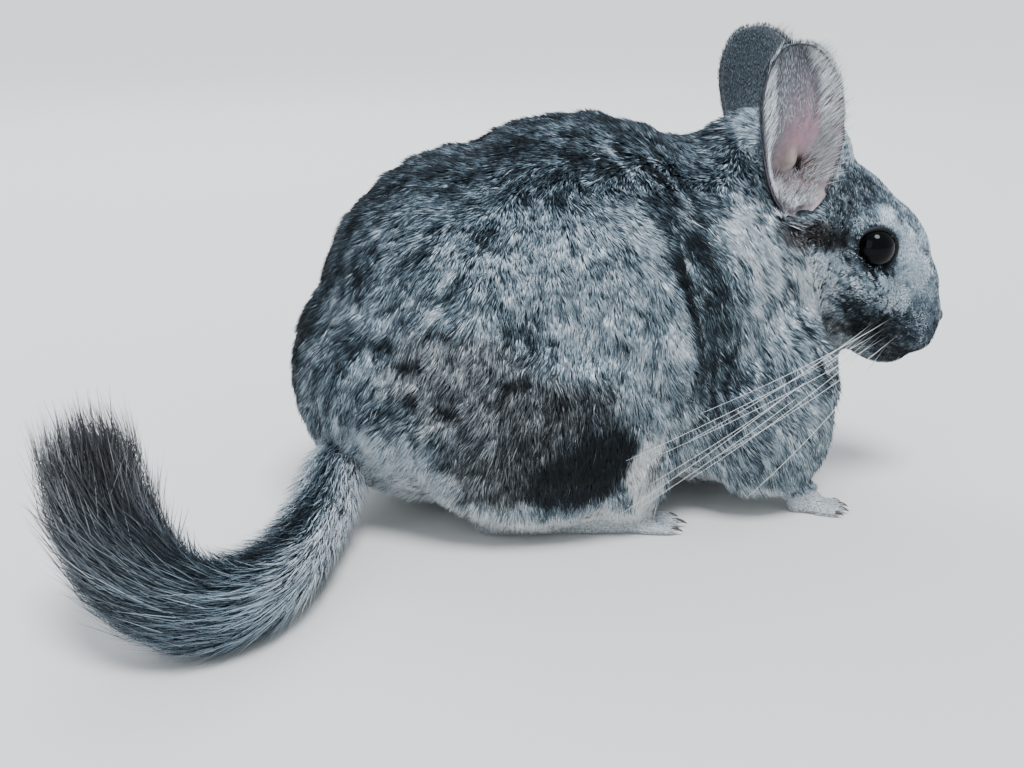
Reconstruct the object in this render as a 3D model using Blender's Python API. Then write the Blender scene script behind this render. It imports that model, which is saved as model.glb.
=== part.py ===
"""A life-size chinchilla at rest on all fours, its head lowered and its tail laid out on the floor.

The animal faces +X, +Y is its left and the floor is z = 0. Sizes are in metres. The solids
reach to the tips of the coat. At the end the whole is set with the middle of its box on the origin.
"""

import math
import random

import bmesh
import bpy
from mathutils import Matrix, Vector

MM = 0.001
GAP = 0.3 * MM  # between touching nodes
GROWN = 0.42 * MM  # a neighbour is grown by this before it is cut away, which leaves about GAP
WELD = 0.002 * MM  # no edge is shorter than this

# Driving dimensions of the animal, in millimetres: 230 from rump to nose and 134 at the back
SIDES = (-1, 1)  # right is -1, left is +1
SIDE_NAMES = {-1: "right", 1: "left"}

# Flesh and coat of the trunk: (centre, radii) of each mass
TRUNK = {
    "back": ((5, 0, 70), (68, 57, 64)),
    "rump": ((-26, 0, 63), (58, 58, 62)),
    "seat": ((-46, 0, 48), (47, 52, 46)),
    "belly": ((8, 0, 39), (68, 47, 36)),
    "chest": ((55, 0, 42), (45, 40, 40)),
    "withers": ((44, 0, 76), (42, 44, 50)),
    "neck": ((68, 0, 93), (34, 35, 42)),
}
# One of each pair: the right one, mirrored for the left
TRUNK_SIDES = {
    "haunch": ((-14, -38, 44), (47, 25, 42)),
    "knee": ((16, -37, 27), (19, 17, 24)),
    "shoulder": ((66, -27, 40), (27, 19, 36)),
}
# The head has its own frame: origin midway between the eyes, x along the muzzle
HEAD_AT = (106, 1, 89)
HEAD_PITCH = 35  # degrees, nose down
HEAD_YAW = -7  # degrees, a little towards its right
HEAD = {
    "cranium": ((-12, 0, -2), (30, 23, 22)),
    "crest": ((-35, 0, 8), (20, 21, 20)),
    "face": ((4, 0, -2), (24, 20, 20)),
    "bridge": ((16, 0, -4), (20, 13, 14)),
    "muzzle": ((27, 0, -13), (16, 14, 15)),
    "jaw": ((24, 0, -23), (16.5, 12, 11)),
    "throat": ((0, 0, -24), (26, 19, 17)),
}
HEAD_SIDES = {
    "cheek": ((0, -13.5, -14), (22, 13, 16)),
    "jowl": ((17, -10, -13), (15, 9, 13)),
    "lip_pad": ((30, -7, -15), (12, 8.5, 9.5)),
    "brow": ((-3, -14, 9), (14, 7, 5.5)),
}
TRUNK_VOXEL, HEAD_VOXEL = 2.6 * MM, 1.3 * MM
TRUNK_TRIANGLES, HEAD_TRIANGLES = 2300, 1800

EYE_AT = (0, -18.2, 0.5)
EYE_RADIUS = 7.2
LID_RADIUS, LID_THICKNESS = 6.9, 1.3

# Cuts between the nodes: a point and the normal that faces the head
HEAD_CUT = ((70, 0, 108), (0.93, 0, 0.37))
NECK_CUT = ((50, 0, 124), (0.91, 0, 0.41))
# The haunch is a plug with an oval outline, from this far out
HAUNCH_OUTLINE = ((-12, 38), (45, 43))
HAUNCH_DEPTH = 33

# Ears, in the head's frame: root, tip and the way the cup faces, of the right one
EAR_ROOT, EAR_TIP = (-29, -28.5, -4), (-66.5, -43.5, 36.5)
EAR_FACES = (0.45, -0.87, 0.15)
EAR_WALL, EAR_RIM = 1.5, 0.9
EAR_WIDEST, EAR_HALF_WIDTH = 0.6, 16
EAR_FULLNESS = 0.44  # the lower, the broader the cup is at its foot
EAR_DEPTH, EAR_BOWL = 3.5, 9.5  # of the whole cup, and how much more its lower bowl has
EAR_ROWS, EAR_COLUMNS = 15, 10

HIND_FOOT = {"heel": (-31, -35), "toe": (24, -38), "width": 13.5, "height": 10}
HIND_TOES = ((-0.70, 9, -9, 2.4), (-0.08, 11, 0, 2.6), (0.55, 9.5, 8, 2.4), (0.95, 3, 16, 1.8))
FORE_PAW = {"heel": (76, -28), "toe": (88, -31), "width": 10.5, "height": 7.5}
FORE_TOES = ((-0.72, 5, -16, 1.9), (-0.24, 6.5, -5, 2.0), (0.24, 6.5, 5, 2.0), (0.72, 5, 16, 1.9))
FORELEG = (((70, -25, 42), 12), ((76, -27, 22), 8.5), ((79, -28, 6), 6))

# The tail's bone line, and the reach of its hair there
TAIL_LINE = (
    (-67, -8, 31), (-78, -27, 21), (-85, -50, 14), (-92, -74, 12), (-102, -95, 12),
    (-116, -108, 14), (-130, -109, 22), (-139, -103, 33), (-143, -96, 43),
)
TAIL_REACH = (11, 13, 13.5, 13.5, 14.5, 16, 17.5, 18, 17)
TAIL_HAIR_TIP = 20  # how far the hair goes past the last bone
TAIL_PARTS = ("tail_root", "tail_middle", "tail_tip")
TAIL_CORE = 0.46  # of the hair's reach
TAIL_CUTS = (5, 9)  # steps of the core where the lengths part
TAIL_CORE_SIDES, TAIL_CORE_RINGS = 8, 14
LOCK_ROWS, LOCKS_ROUND, TIP_LOCKS = 10, 8, 9
LOCK_LENGTH, LOCK_WIDTH, LOCK_THICKNESS = 30, 8.5, 2.6
LOCK_SEED = 11

COLOURS = {
    "coat": ((0.26, 0.29, 0.32), 0.9),
    "pale_coat": ((0.62, 0.61, 0.60), 0.9),
    "ear_skin": ((0.36, 0.29, 0.28), 0.7),
    "eye": ((0.012, 0.010, 0.012), 0.05),
}


def clear_scene():
    for obj in list(bpy.data.objects):
        bpy.data.objects.remove(obj)


def material(name):
    found = bpy.data.materials.get(name)
    if found:
        return found
    colour, roughness = COLOURS[name]
    made = bpy.data.materials.new(name)
    made.use_nodes = True
    shader = made.node_tree.nodes["Principled BSDF"]
    shader.inputs["Base Color"].default_value = (*colour, 1)
    shader.inputs["Roughness"].default_value = roughness
    shader.inputs["Metallic"].default_value = 0
    return made


def new_object(name, bm):
    bmesh.ops.triangulate(bm, faces=bm.faces)
    mesh = bpy.data.meshes.new(name)
    bm.to_mesh(mesh)
    bm.free()
    obj = bpy.data.objects.new(name, mesh)
    bpy.context.scene.collection.objects.link(obj)
    return obj


def apply_modifiers(obj):
    graph = bpy.context.evaluated_depsgraph_get()
    done = bpy.data.meshes.new_from_object(obj.evaluated_get(graph))
    obj.modifiers.clear()
    obj.data = done
    return obj


def remove(*objects):
    for obj in objects:
        bpy.data.objects.remove(obj)


def copy_of(obj, name="copy"):
    twin = obj.copy()
    twin.data = obj.data.copy()
    twin.name = name
    bpy.context.scene.collection.objects.link(twin)
    return twin


def millimetres(values):
    return Vector(values) * MM


def mirrored(values, side):
    """The right side's values, or their mirror image for the left."""
    x, y, z = values
    return (x, y if side < 0 else -y, z)


def head_frame():
    yaw = Matrix.Rotation(math.radians(HEAD_YAW), 4, "Z")
    pitch = Matrix.Rotation(math.radians(HEAD_PITCH), 4, "Y")
    return Matrix.Translation(millimetres(HEAD_AT)) @ yaw @ pitch


def ellipsoid(centre, radii, frame=Matrix.Identity(4), segments=24, rings=16):
    bm = bmesh.new()
    bmesh.ops.create_uvsphere(bm, u_segments=segments, v_segments=rings, radius=1)
    place = frame @ Matrix.Translation(millimetres(centre)) @ Matrix.Diagonal((*millimetres(radii), 1))
    bm.transform(place)
    return new_object("mass", bm)


def block(low, high, frame=Matrix.Identity(4)):
    low, high = millimetres(low), millimetres(high)
    bm = bmesh.new()
    bmesh.ops.create_cube(bm, size=1)
    bm.transform(frame @ Matrix.Translation((low + high) / 2) @ Matrix.Diagonal((*(high - low), 1)))
    return new_object("block", bm)


def tidy(mesh):
    """Merges points that a Boolean leaves on top of each other and says whether all is closed."""
    bm = bmesh.new()
    bm.from_mesh(mesh)
    bmesh.ops.remove_doubles(bm, verts=bm.verts, dist=WELD)
    bmesh.ops.dissolve_degenerate(bm, edges=bm.edges, dist=WELD)
    bmesh.ops.triangulate(bm, faces=bm.faces)
    closed = all(edge.is_manifold for edge in bm.edges)
    bm.to_mesh(mesh)
    bm.free()
    return closed


def boolean(obj, others, operation):
    """One Boolean on a collection of closed objects, applied. The others are removed."""
    group = bpy.data.collections.new("operands")
    bpy.context.scene.collection.children.link(group)
    for other in others:
        bpy.context.scene.collection.objects.unlink(other)
        group.objects.link(other)
    start = obj.data
    for solver in ("EXACT", "MANIFOLD"):
        obj.data = start.copy()
        modifier = obj.modifiers.new("boolean", "BOOLEAN")
        modifier.operation = operation
        modifier.solver = solver
        modifier.operand_type = "COLLECTION"
        modifier.collection = group
        apply_modifiers(obj)
        if tidy(obj.data):
            break
    remove(*others)
    bpy.data.collections.remove(group)
    return obj


def keep_largest(obj):
    """Drops every closed surface but the one with the most volume."""
    bm = bmesh.new()
    bm.from_mesh(obj.data)
    bm.faces.ensure_lookup_table()
    seen, best, best_volume = set(), None, 0
    for start in bm.faces:
        if start in seen:
            continue
        shell, stack, volume = [], [start], 0
        seen.add(start)
        while stack:
            face = stack.pop()
            shell.append(face)
            volume += face.calc_center_median().dot(face.normal) * face.calc_area() / 3
            for edge in face.edges:
                for near in edge.link_faces:
                    if near not in seen:
                        seen.add(near)
                        stack.append(near)
        if volume > best_volume:
            best, best_volume = set(shell), volume
    bmesh.ops.delete(bm, geom=[f for f in bm.faces if f not in best], context="FACES")
    bmesh.ops.delete(bm, geom=[v for v in bm.verts if not v.link_faces], context="VERTS")
    bm.to_mesh(obj.data)
    bm.free()
    return obj


def grown(obj, by=GROWN):
    twin = copy_of(obj)
    push = twin.modifiers.new("grow", "DISPLACE")
    push.strength = by
    push.mid_level = 0
    return apply_modifiers(twin)


def blended(name, masses, voxel, triangles, smoothing):
    """Masses fused by a voxel remesh, smoothed over their joins and thinned to a budget."""
    whole = masses[0]
    bm = bmesh.new()
    for mass in masses:
        bm.from_mesh(mass.data)
    bm.to_mesh(whole.data)
    bm.free()
    remove(*masses[1:])
    whole.name = name
    remesh = whole.modifiers.new("remesh", "REMESH")
    remesh.mode = "VOXEL"
    remesh.voxel_size = voxel
    smooth = whole.modifiers.new("smooth", "SMOOTH")
    smooth.factor = 0.5
    smooth.iterations = smoothing
    apply_modifiers(whole)
    count = sum(len(face.vertices) - 2 for face in whole.data.polygons)
    thin = whole.modifiers.new("thin", "DECIMATE")
    thin.ratio = triangles / count
    return apply_modifiers(whole)


def pairs_of(masses, sides, frame=Matrix.Identity(4)):
    made = [ellipsoid(centre, radii, frame) for centre, radii in masses.values()]
    for centre, radii in sides.values():
        made += [ellipsoid(mirrored(centre, side), radii, frame) for side in SIDES]
    return made


def half_space(cut, shift, keep_front):
    """A large block that covers what is in front of a cut, or behind it, moved along its normal."""
    point, normal = millimetres(cut[0]), Vector(cut[1]).normalized()
    frame = Matrix.Translation(point + normal * shift) @ normal.to_track_quat("X", "Z").to_matrix().to_4x4()
    reach = 400
    low, high = ((0, -reach, -reach), (reach, reach, reach)) if keep_front else (
        (-reach, -reach, -reach), (0, reach, reach))
    return block(low, high, frame)


def oval_plug(side, extra):
    """The outline of a haunch, drawn out sideways."""
    (x, z), (half_length, half_height) = HAUNCH_OUTLINE
    bm = bmesh.new()
    bmesh.ops.create_cone(bm, cap_ends=True, segments=36, radius1=1, radius2=1, depth=1)
    depth = 80
    inner = HAUNCH_DEPTH - extra / MM
    turn = Matrix.Rotation(math.radians(90), 4, "X")
    size = Matrix.Diagonal(((half_length * MM + extra), (half_height * MM + extra), depth * MM, 1))
    bm.transform(Matrix.Translation(millimetres((x, side * (inner + depth / 2), z))) @ turn @ size)
    return new_object("plug", bm)


def smooth_line(points, count):
    """count points along a smooth curve through the given ones, evenly spaced, in metres."""
    spline = [Vector(p) for p in points]
    ends = [2 * spline[0] - spline[1], *spline, 2 * spline[-1] - spline[-2]]
    dense = []
    for i in range(1, len(ends) - 2):
        a, b, c, d = ends[i - 1:i + 3]
        for step in range(20):
            t = step / 20
            dense.append(0.5 * (2 * b + (c - a) * t + (2 * a - 5 * b + 4 * c - d) * t * t
                                + (3 * b - a - 3 * c + d) * t ** 3))
    dense.append(spline[-1])
    lengths = [0.0]
    for near, far in zip(dense, dense[1:]):
        lengths.append(lengths[-1] + (far - near).length)
    line, index = [], 0
    for step in range(count):
        want = lengths[-1] * step / (count - 1)
        while index < len(lengths) - 2 and lengths[index + 1] < want:
            index += 1
        share = (want - lengths[index]) / (lengths[index + 1] - lengths[index])
        line.append(dense[index].lerp(dense[index + 1], share) * MM)
    return line


def loft(name, rings):
    """A closed tube through rings of points, each end closed to its middle."""
    bm = bmesh.new()
    loops = [[bm.verts.new(p) for p in ring] for ring in rings]
    for near, far in zip(loops, loops[1:]):
        for i in range(len(near)):
            j = (i + 1) % len(near)
            bm.faces.new((near[i], near[j], far[j], far[i]))
    bm.faces.new(list(reversed(loops[0])))
    bm.faces.new(loops[-1])
    bmesh.ops.recalc_face_normals(bm, faces=bm.faces)
    return new_object(name, bm)


def ring_of(centre, along, wide, high, sides, up=Vector((0, 0, 1)), floor=None):
    """A ring of points across a direction. None of them lies below the floor."""
    across = up.cross(along).normalized()
    rise = along.cross(across).normalized()
    ring = []
    for i in range(sides):
        angle = 2 * math.pi * (i + 0.5) / sides
        point = centre + across * (wide * math.cos(angle)) + rise * (high * math.sin(angle))
        if floor is not None:
            point.z = max(point.z, floor)
        ring.append(point)
    return ring


def directions(line):
    steps = [(b - a).normalized() for a, b in zip(line, line[1:])]
    return [steps[0], *[(a + b).normalized() for a, b in zip(steps, steps[1:])], steps[-1]]


def limb(name, stations, sides=12, steps=9):
    """A tapered limb through (place, radius) stations."""
    line = smooth_line([place for place, _ in stations], steps)
    radii = [interpolate([r for _, r in stations], i / (steps - 1)) * MM for i in range(steps)]
    rings = [ring_of(p, d, r, r, sides, Vector((1, 0, 0)))
             for p, d, r in zip(line, directions(line), radii)]
    return loft(name, rings)


def interpolate(values, share):
    place = share * (len(values) - 1)
    low = min(int(place), len(values) - 2)
    return values[low] + (values[low + 1] - values[low]) * (place - low)


def foot(name, side, size, toes):
    """A foot flat on the floor: a rounded sole and instep, and toes with claws fused on."""
    heel = millimetres(mirrored((*size["heel"], 0), side))
    toe = millimetres(mirrored((*size["toe"], 0), side))
    along = (toe - heel).normalized()
    across = Vector((0, 0, 1)).cross(along)
    length = (toe - heel).length
    width, height = size["width"] * MM, size["height"] * MM
    rings = []
    for share, wide, high in ((-0.03, 0.34, 0.4), (0.04, 0.72, 0.72), (0.2, 0.84, 0.9), (0.5, 0.86, 1.0),
                              (0.78, 1.0, 0.9), (0.94, 0.94, 0.68), (1.04, 0.66, 0.44)):
        centre = heel + along * (length * share) + Vector((0, 0, height * high * 0.40))
        rings.append(ring_of(centre, along, width * wide / 2, height * high * 0.60, 10, floor=0.0))
    sole = loft(name, rings)
    pieces = []
    for offset, reach, turn, radius in toes:
        start = toe + across * (offset * width / 2 * side * -1) - along * (3 * MM)
        way = Matrix.Rotation(math.radians(turn * -side), 3, "Z") @ along
        end = start + way * ((reach + 3) * MM)
        r = radius * MM
        toe_rings = []
        for share, scale in ((0, 0.95), (0.55, 1.0), (0.9, 0.9), (1.0, 0.5)):
            middle = start.lerp(end, share) + Vector((0, 0, r * 0.72))
            toe_rings.append(ring_of(middle, way, r * scale, r * scale, 6, floor=0.0))
        pieces.append(loft("toe", toe_rings))
        claw_line = ((0.92, 0.62, 1.1), (1.08, 0.42, 1.15), (1.26, 0.16, 0.62))
        claw_rings = [ring_of(start + way * ((reach + 3) * MM * share) + Vector((0, 0, r * lift)), way,
                              r * scale * 0.8, r * scale, 4) for share, scale, lift in claw_line]
        pieces.append(loft("claw", claw_rings))
    boolean(sole, pieces, "UNION")
    return keep_largest(sole)


def ear_section(level):
    """(half width, depth, forward lean) of the ear's cup at a share of its height."""
    if level < EAR_WIDEST:
        half = EAR_HALF_WIDTH * (1 - ((EAR_WIDEST - level) / EAR_WIDEST) ** 2) ** EAR_FULLNESS
    else:
        half = EAR_HALF_WIDTH * math.sqrt(1 - ((level - EAR_WIDEST) / (1 - EAR_WIDEST)) ** 2.3)
    depth = EAR_DEPTH + EAR_BOWL * math.exp(-((level - 0.24) / 0.2) ** 2)
    depth *= min(1, half / 7)
    lean = 2.5 * math.sin(math.pi * level) - 3 * level
    return half, depth, lean


def ear_surface(side, forward=0.0):
    """A bmesh sheet in the shape of the ear's cup, or with its hollow pulled flat and forward."""
    frame = head_frame()
    root = frame @ millimetres(mirrored(EAR_ROOT, side))
    tip = frame @ millimetres(mirrored(EAR_TIP, side))
    up = (tip - root).normalized()
    faces = frame.to_3x3() @ Vector(mirrored(EAR_FACES, side))
    faces = (faces - up * faces.dot(up)).normalized()
    across = up.cross(faces)
    height = (tip - root).length
    bm = bmesh.new()
    grid = []
    for row in range(EAR_ROWS + 1):
        share = row / EAR_ROWS
        level = 0.5 - 0.49 * math.cos(math.pi * (0.35 * share + 0.65 * (3 * share ** 2 - 2 * share ** 3)))
        half, depth, lean = ear_section(level)
        points = []
        for column in range(EAR_COLUMNS + 1):
            over = math.sin(math.pi / 2 * (2 * column / EAR_COLUMNS - 1))
            sunk = depth * (1 - abs(over) ** 2.2) if not forward else -forward
            point = root + up * (height * level) + across * (half * over * MM) + faces * ((lean - sunk) * MM)
            points.append(bm.verts.new(point))
        grid.append(points)
    for low, high in zip(grid, grid[1:]):
        for column in range(EAR_COLUMNS):
            bm.faces.new((low[column], low[column + 1], high[column + 1], high[column]))
    bm.normal_update()
    if grid[EAR_ROWS // 2][EAR_COLUMNS // 2].normal.dot(faces) > 0:
        bmesh.ops.reverse_faces(bm, faces=bm.faces)
        bm.normal_update()
    return bm, grid


def closed_between(name, near, far):
    """A closed solid between two sheets with the same grid of points."""
    bm = bmesh.new()
    sheets = [[[bm.verts.new(p) for p in row] for row in grid] for grid in (near, far)]
    rows, columns = len(near), len(near[0])
    for grid in sheets:
        for i in range(rows - 1):
            for j in range(columns - 1):
                bm.faces.new((grid[i][j], grid[i][j + 1], grid[i + 1][j + 1], grid[i + 1][j]))
    border = [(0, j) for j in range(columns)] + [(i, columns - 1) for i in range(1, rows)]
    border += [(rows - 1, j) for j in range(columns - 2, -1, -1)] + [(i, 0) for i in range(rows - 2, 0, -1)]
    for (i, j), (k, m) in zip(border, border[1:] + border[:1]):
        bm.faces.new((sheets[0][i][j], sheets[0][k][m], sheets[1][k][m], sheets[1][i][j]))
    bmesh.ops.recalc_face_normals(bm, faces=bm.faces)
    return new_object(name, bm)


def ear(name, side):
    """An upright oval cup, deepest low down, with a thin rim. Its normals point out of its back."""
    bm, grid = ear_surface(side)
    outer, inner = [], []
    for i, row in enumerate(grid):
        outer.append([v.co.copy() for v in row])
        line = []
        for j, v in enumerate(row):
            edge = max(abs(2 * j / EAR_COLUMNS - 1), abs(2 * i / EAR_ROWS - 1)) ** 5
            line.append(v.co - v.normal * ((EAR_WALL + (EAR_RIM - EAR_WALL) * edge) * MM))
        inner.append(line)
    bm.free()
    return closed_between(name, outer, inner)


def ear_pocket(side):
    """What the ear needs clear of the head: its whole cup and the way in, a gap larger all round."""
    bm, grid = ear_surface(side)
    outer = [[v.co + v.normal * GROWN for v in row] for row in grid]
    bm.free()
    bm, grid = ear_surface(side, forward=14)
    front = [[v.co.copy() for v in row] for row in grid]
    bm.free()
    return closed_between("pocket", outer, front)


def eye_lid(side, frame):
    """A raised rim round an eye, thicker above."""
    bm = bmesh.new()
    segments, around = 16, 5
    centre = Vector(mirrored(EYE_AT, side))
    out = Vector((0.16, side, 0.10)).normalized()
    forward = Vector((0, 0, 1)).cross(out) * side * -1
    rise = out.cross(forward) * side * -1
    loops = []
    for i in range(segments):
        turn = 2 * math.pi * i / segments
        ray = forward.normalized() * math.cos(turn) + rise.normalized() * math.sin(turn)
        thick = LID_THICKNESS * (1 + 0.25 * math.sin(turn))
        middle = centre + ray * LID_RADIUS + out * 2.6
        loop = []
        for j in range(around):
            bend = 2 * math.pi * j / around
            loop.append(bm.verts.new(frame @ millimetres(middle + ray * (thick * math.cos(bend)) +
                                                         out * (thick * math.sin(bend)))))
        loops.append(loop)
    for i in range(segments):
        near, far = loops[i], loops[(i + 1) % segments]
        for j in range(around):
            k = (j + 1) % around
            bm.faces.new((near[j], near[k], far[k], far[j]))
    bmesh.ops.recalc_face_normals(bm, faces=bm.faces)
    return new_object("lid", bm)


def mouth_cutter(frame):
    """A thin curved blade that cuts the cleft of the lips and the line of the mouth."""
    line = [(42, 0, -23.5), (35, -8.5, -25), (26, -12.5, -24.5), (18, -15.5, -21)]
    made = []
    for side in SIDES:
        points = [frame @ millimetres(mirrored(p, side)) for p in
                  [(46, 1.5, -22.5), *line, (14, -20, -19)]]
        up = (frame.to_3x3() @ Vector((0, 0, 1))).normalized()
        ways = directions(points)
        rings = [ring_of(p, d, 3.2 * MM, 0.55 * MM, 6, up) for p, d in zip(points, ways)]
        made.append(loft("mouth", rings))
    return made


def nostril_cutters(frame):
    return [ellipsoid(mirrored((39.6, -3.4, -5), side), (3.0, 0.9, 1.8),
                      frame, 10, 6) for side in SIDES]


def make_head_and_trunk():
    frame = head_frame()
    trunk_masses = pairs_of(TRUNK, TRUNK_SIDES) + pairs_of(HEAD, HEAD_SIDES, frame)
    trunk = blended("torso", trunk_masses, TRUNK_VOXEL, TRUNK_TRIANGLES, 8)
    near_head = {name: TRUNK[name] for name in ("neck", "withers", "chest")}
    head_masses = pairs_of(HEAD, HEAD_SIDES, frame) + pairs_of(near_head, {})
    head = blended("head", head_masses, HEAD_VOXEL, HEAD_TRIANGLES * 3, 10)
    boolean(head, [half_space(HEAD_CUT, 0, True)], "INTERSECT")
    thin = head.modifiers.new("thin", "DECIMATE")
    thin.ratio = HEAD_TRIANGLES / sum(len(f.vertices) - 2 for f in head.data.polygons)
    apply_modifiers(head)
    boolean(head, [half_space(HEAD_CUT, GAP / 2, False)], "DIFFERENCE")
    keep_largest(head)

    neck = copy_of(trunk, "neck")
    boolean(neck, [half_space(HEAD_CUT, -GAP / 2, True), half_space(NECK_CUT, GAP / 2, False)],
            "DIFFERENCE")
    keep_largest(neck)
    boolean(trunk, [half_space(NECK_CUT, -GAP / 2, True)], "DIFFERENCE")
    keep_largest(trunk)

    legs = []
    for side in SIDES:
        leg = copy_of(trunk, "hind_leg_" + SIDE_NAMES[side])
        boolean(leg, [oval_plug(side, 0)], "INTERSECT")
        legs.append(keep_largest(leg))
    boolean(trunk, [oval_plug(side, GAP) for side in SIDES], "DIFFERENCE")
    keep_largest(trunk)
    return head, neck, trunk, legs


def finish_head(head):
    """Lids, mouth, nostrils and the eyes, each eye in a socket of its own."""
    frame = head_frame()
    boolean(head, [eye_lid(side, frame) for side in SIDES], "UNION")
    boolean(head, [*mouth_cutter(frame), *nostril_cutters(frame)], "DIFFERENCE")
    eyes = []
    for side in SIDES:
        centre = mirrored(EYE_AT, side)
        eye = ellipsoid(centre, (EYE_RADIUS,) * 3, frame, 16, 10)
        eye.name = "eye_" + SIDE_NAMES[side]
        eyes.append(eye)
    sockets = [ellipsoid(mirrored(EYE_AT, side), (EYE_RADIUS + GAP / MM,) * 3, frame, 16, 10)
               for side in SIDES]
    boolean(head, sockets, "DIFFERENCE")
    keep_largest(head)
    return eyes


def tail_point(line, ways, place, radius, angle):
    """A point round the tail's bone line, and the directions out from it and along it there.

    place counts line steps, and past the last one the line runs straight on.
    """
    low = min(int(place), len(line) - 2)
    share = place - low
    centre = line[low].lerp(line[low + 1], share)
    way = ways[low].lerp(ways[low + 1], min(1, share)).normalized()
    across = Vector((0, 0, 1)).cross(way).normalized()
    out = across * math.cos(angle) + way.cross(across) * math.sin(angle)
    return centre + out * radius, out, way


def tail_lock(line, ways, start, length, angle, drift, tip_reach, width):
    """A flat tapered lock, rooted in the core, that rises to the coat's surface and lies back along it."""
    step = (line[1] - line[0]).length
    rings = []
    root = 0.2
    for share, wide, thick in ((0, 0.5, 0.8), (0.34, 1, 1), (0.7, 0.74, 0.7), (1, 0, 0)):
        place = start + share * length * MM / step
        reach = interpolate(TAIL_REACH, min(1, place / (len(line) - 1))) * MM
        rise = root + (tip_reach - root) * math.sin(math.pi / 2 * share) ** 0.85
        point, out, way = tail_point(line, ways, place, reach * rise, angle + drift * share)
        side = out.cross(way).normalized() * (width * wide * MM / 2)
        lift = out * (LOCK_THICKNESS * thick * MM / 2)
        rings.append((point,) if wide == 0 else (point + side, point + lift, point - side, point - lift))
    bm = bmesh.new()
    loops = [[bm.verts.new(p) for p in ring] for ring in rings]
    for near, far in zip(loops, loops[1:]):
        for i in range(4):
            j = (i + 1) % 4
            corners = (near[i], near[j], far[j], far[i]) if len(far) > 1 else (near[i], near[j], far[0])
            bm.faces.new(corners)
    bm.faces.new(list(reversed(loops[0])))
    bmesh.ops.recalc_face_normals(bm, faces=bm.faces)
    return new_object("lock", bm)


def make_tail(trunk):
    """A core and rows of locks fused into one brush, then parted by thin cuts into three lengths."""
    pick = random.Random(LOCK_SEED)
    count = TAIL_CORE_RINGS
    line = smooth_line(TAIL_LINE, count)
    ways = directions(line)
    rings = []
    for i in range(count):
        radius = interpolate(TAIL_REACH, i / (count - 1)) * TAIL_CORE * MM
        rings.append(ring_of(line[i], ways[i], radius, radius, TAIL_CORE_SIDES))
    rings.append(ring_of(line[-1] + ways[-1] * (6 * MM), ways[-1], 3 * MM, 3 * MM, TAIL_CORE_SIDES))
    tail = loft("tail", rings)
    locks = []
    for row in range(LOCK_ROWS):
        for column in range(LOCKS_ROUND):
            start = 0.35 + (count - 2.2) * (row + 0.35 * pick.random()) / LOCK_ROWS
            angle = 2 * math.pi * (column + 0.5 * (row % 2) + 0.25 * pick.uniform(-1, 1)) / LOCKS_ROUND
            longer = 0.95 + 0.2 * row / LOCK_ROWS
            locks.append(tail_lock(line, ways, start, LOCK_LENGTH * longer * pick.uniform(0.9, 1.1), angle,
                                   pick.uniform(-0.25, 0.25), pick.uniform(0.9, 1.04),
                                   LOCK_WIDTH * (0.8 + 0.35 * row / LOCK_ROWS)))
    for column in range(TIP_LOCKS):
        angle = 2 * math.pi * (column + 0.3 * pick.random()) / TIP_LOCKS
        locks.append(tail_lock(line, ways, count - 1.9 + 0.5 * pick.random(),
                               TAIL_HAIR_TIP + LOCK_LENGTH * 0.45 * pick.uniform(0.7, 1.0), angle,
                               pick.uniform(-0.2, 0.2), (0.85, 0.35)[column % 2], LOCK_WIDTH))
    boolean(tail, locks, "UNION")
    boolean(tail, [block((-400, -400, -50), (400, 400, 0))], "DIFFERENCE")
    keep_largest(tail)
    parts = []
    cuts = [(line[i], ways[i]) for i in TAIL_CUTS]
    for index, name in enumerate(TAIL_PARTS):
        part = copy_of(tail, name)
        for number, (point, way) in enumerate(cuts):
            if number in (index - 1, index):
                cut = (point / MM, way)
                behind = number == index - 1
                wall = half_space(cut, GAP / 2 if behind else -GAP / 2, not behind)
                boolean(part, [wall], "DIFFERENCE")
        parts.append(keep_largest(part))
    remove(tail)
    boolean(parts[0], [grown(trunk)], "DIFFERENCE")
    keep_largest(parts[0])
    return parts


def make_forelegs(trunk):
    made = []
    for side in SIDES:
        word = SIDE_NAMES[side]
        paw = foot("fore_paw_" + word, side, FORE_PAW, FORE_TOES)
        leg = limb("foreleg_" + word, [(mirrored(place, side), r) for place, r in FORELEG])
        boolean(leg, [grown(trunk), grown(paw)], "DIFFERENCE")
        made += [paw, keep_largest(leg)]
    return made


def make_hind_feet(trunk, legs):
    feet = [foot("hind_foot_" + SIDE_NAMES[side], side, HIND_FOOT, HIND_TOES) for side in SIDES]
    for body in [trunk, *legs]:
        boolean(body, [grown(f) for f in feet], "DIFFERENCE")
        keep_largest(body)
    return feet


def main():
    clear_scene()
    head, neck, trunk, legs = make_head_and_trunk()
    feet = make_hind_feet(trunk, legs)
    forelegs = make_forelegs(trunk)
    tail = make_tail(trunk)
    for body in (head, neck):
        boolean(body, [ear_pocket(side) for side in SIDES], "DIFFERENCE")
        keep_largest(body)
    ears = [ear("ear_" + SIDE_NAMES[side], side) for side in SIDES]
    eyes = finish_head(head)
    looks = {"coat": [head, neck, trunk, *legs, *tail], "pale_coat": [*feet, *forelegs],
             "ear_skin": ears, "eye": eyes}
    for name, objects in looks.items():
        for obj in objects:
            obj.data.materials.clear()
            obj.data.materials.append(material(name))
            obj.data.shade_smooth()
            obj.data.set_sharp_from_angle(angle=math.radians(50))
    set_on_origin([obj for objects in looks.values() for obj in objects])


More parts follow.
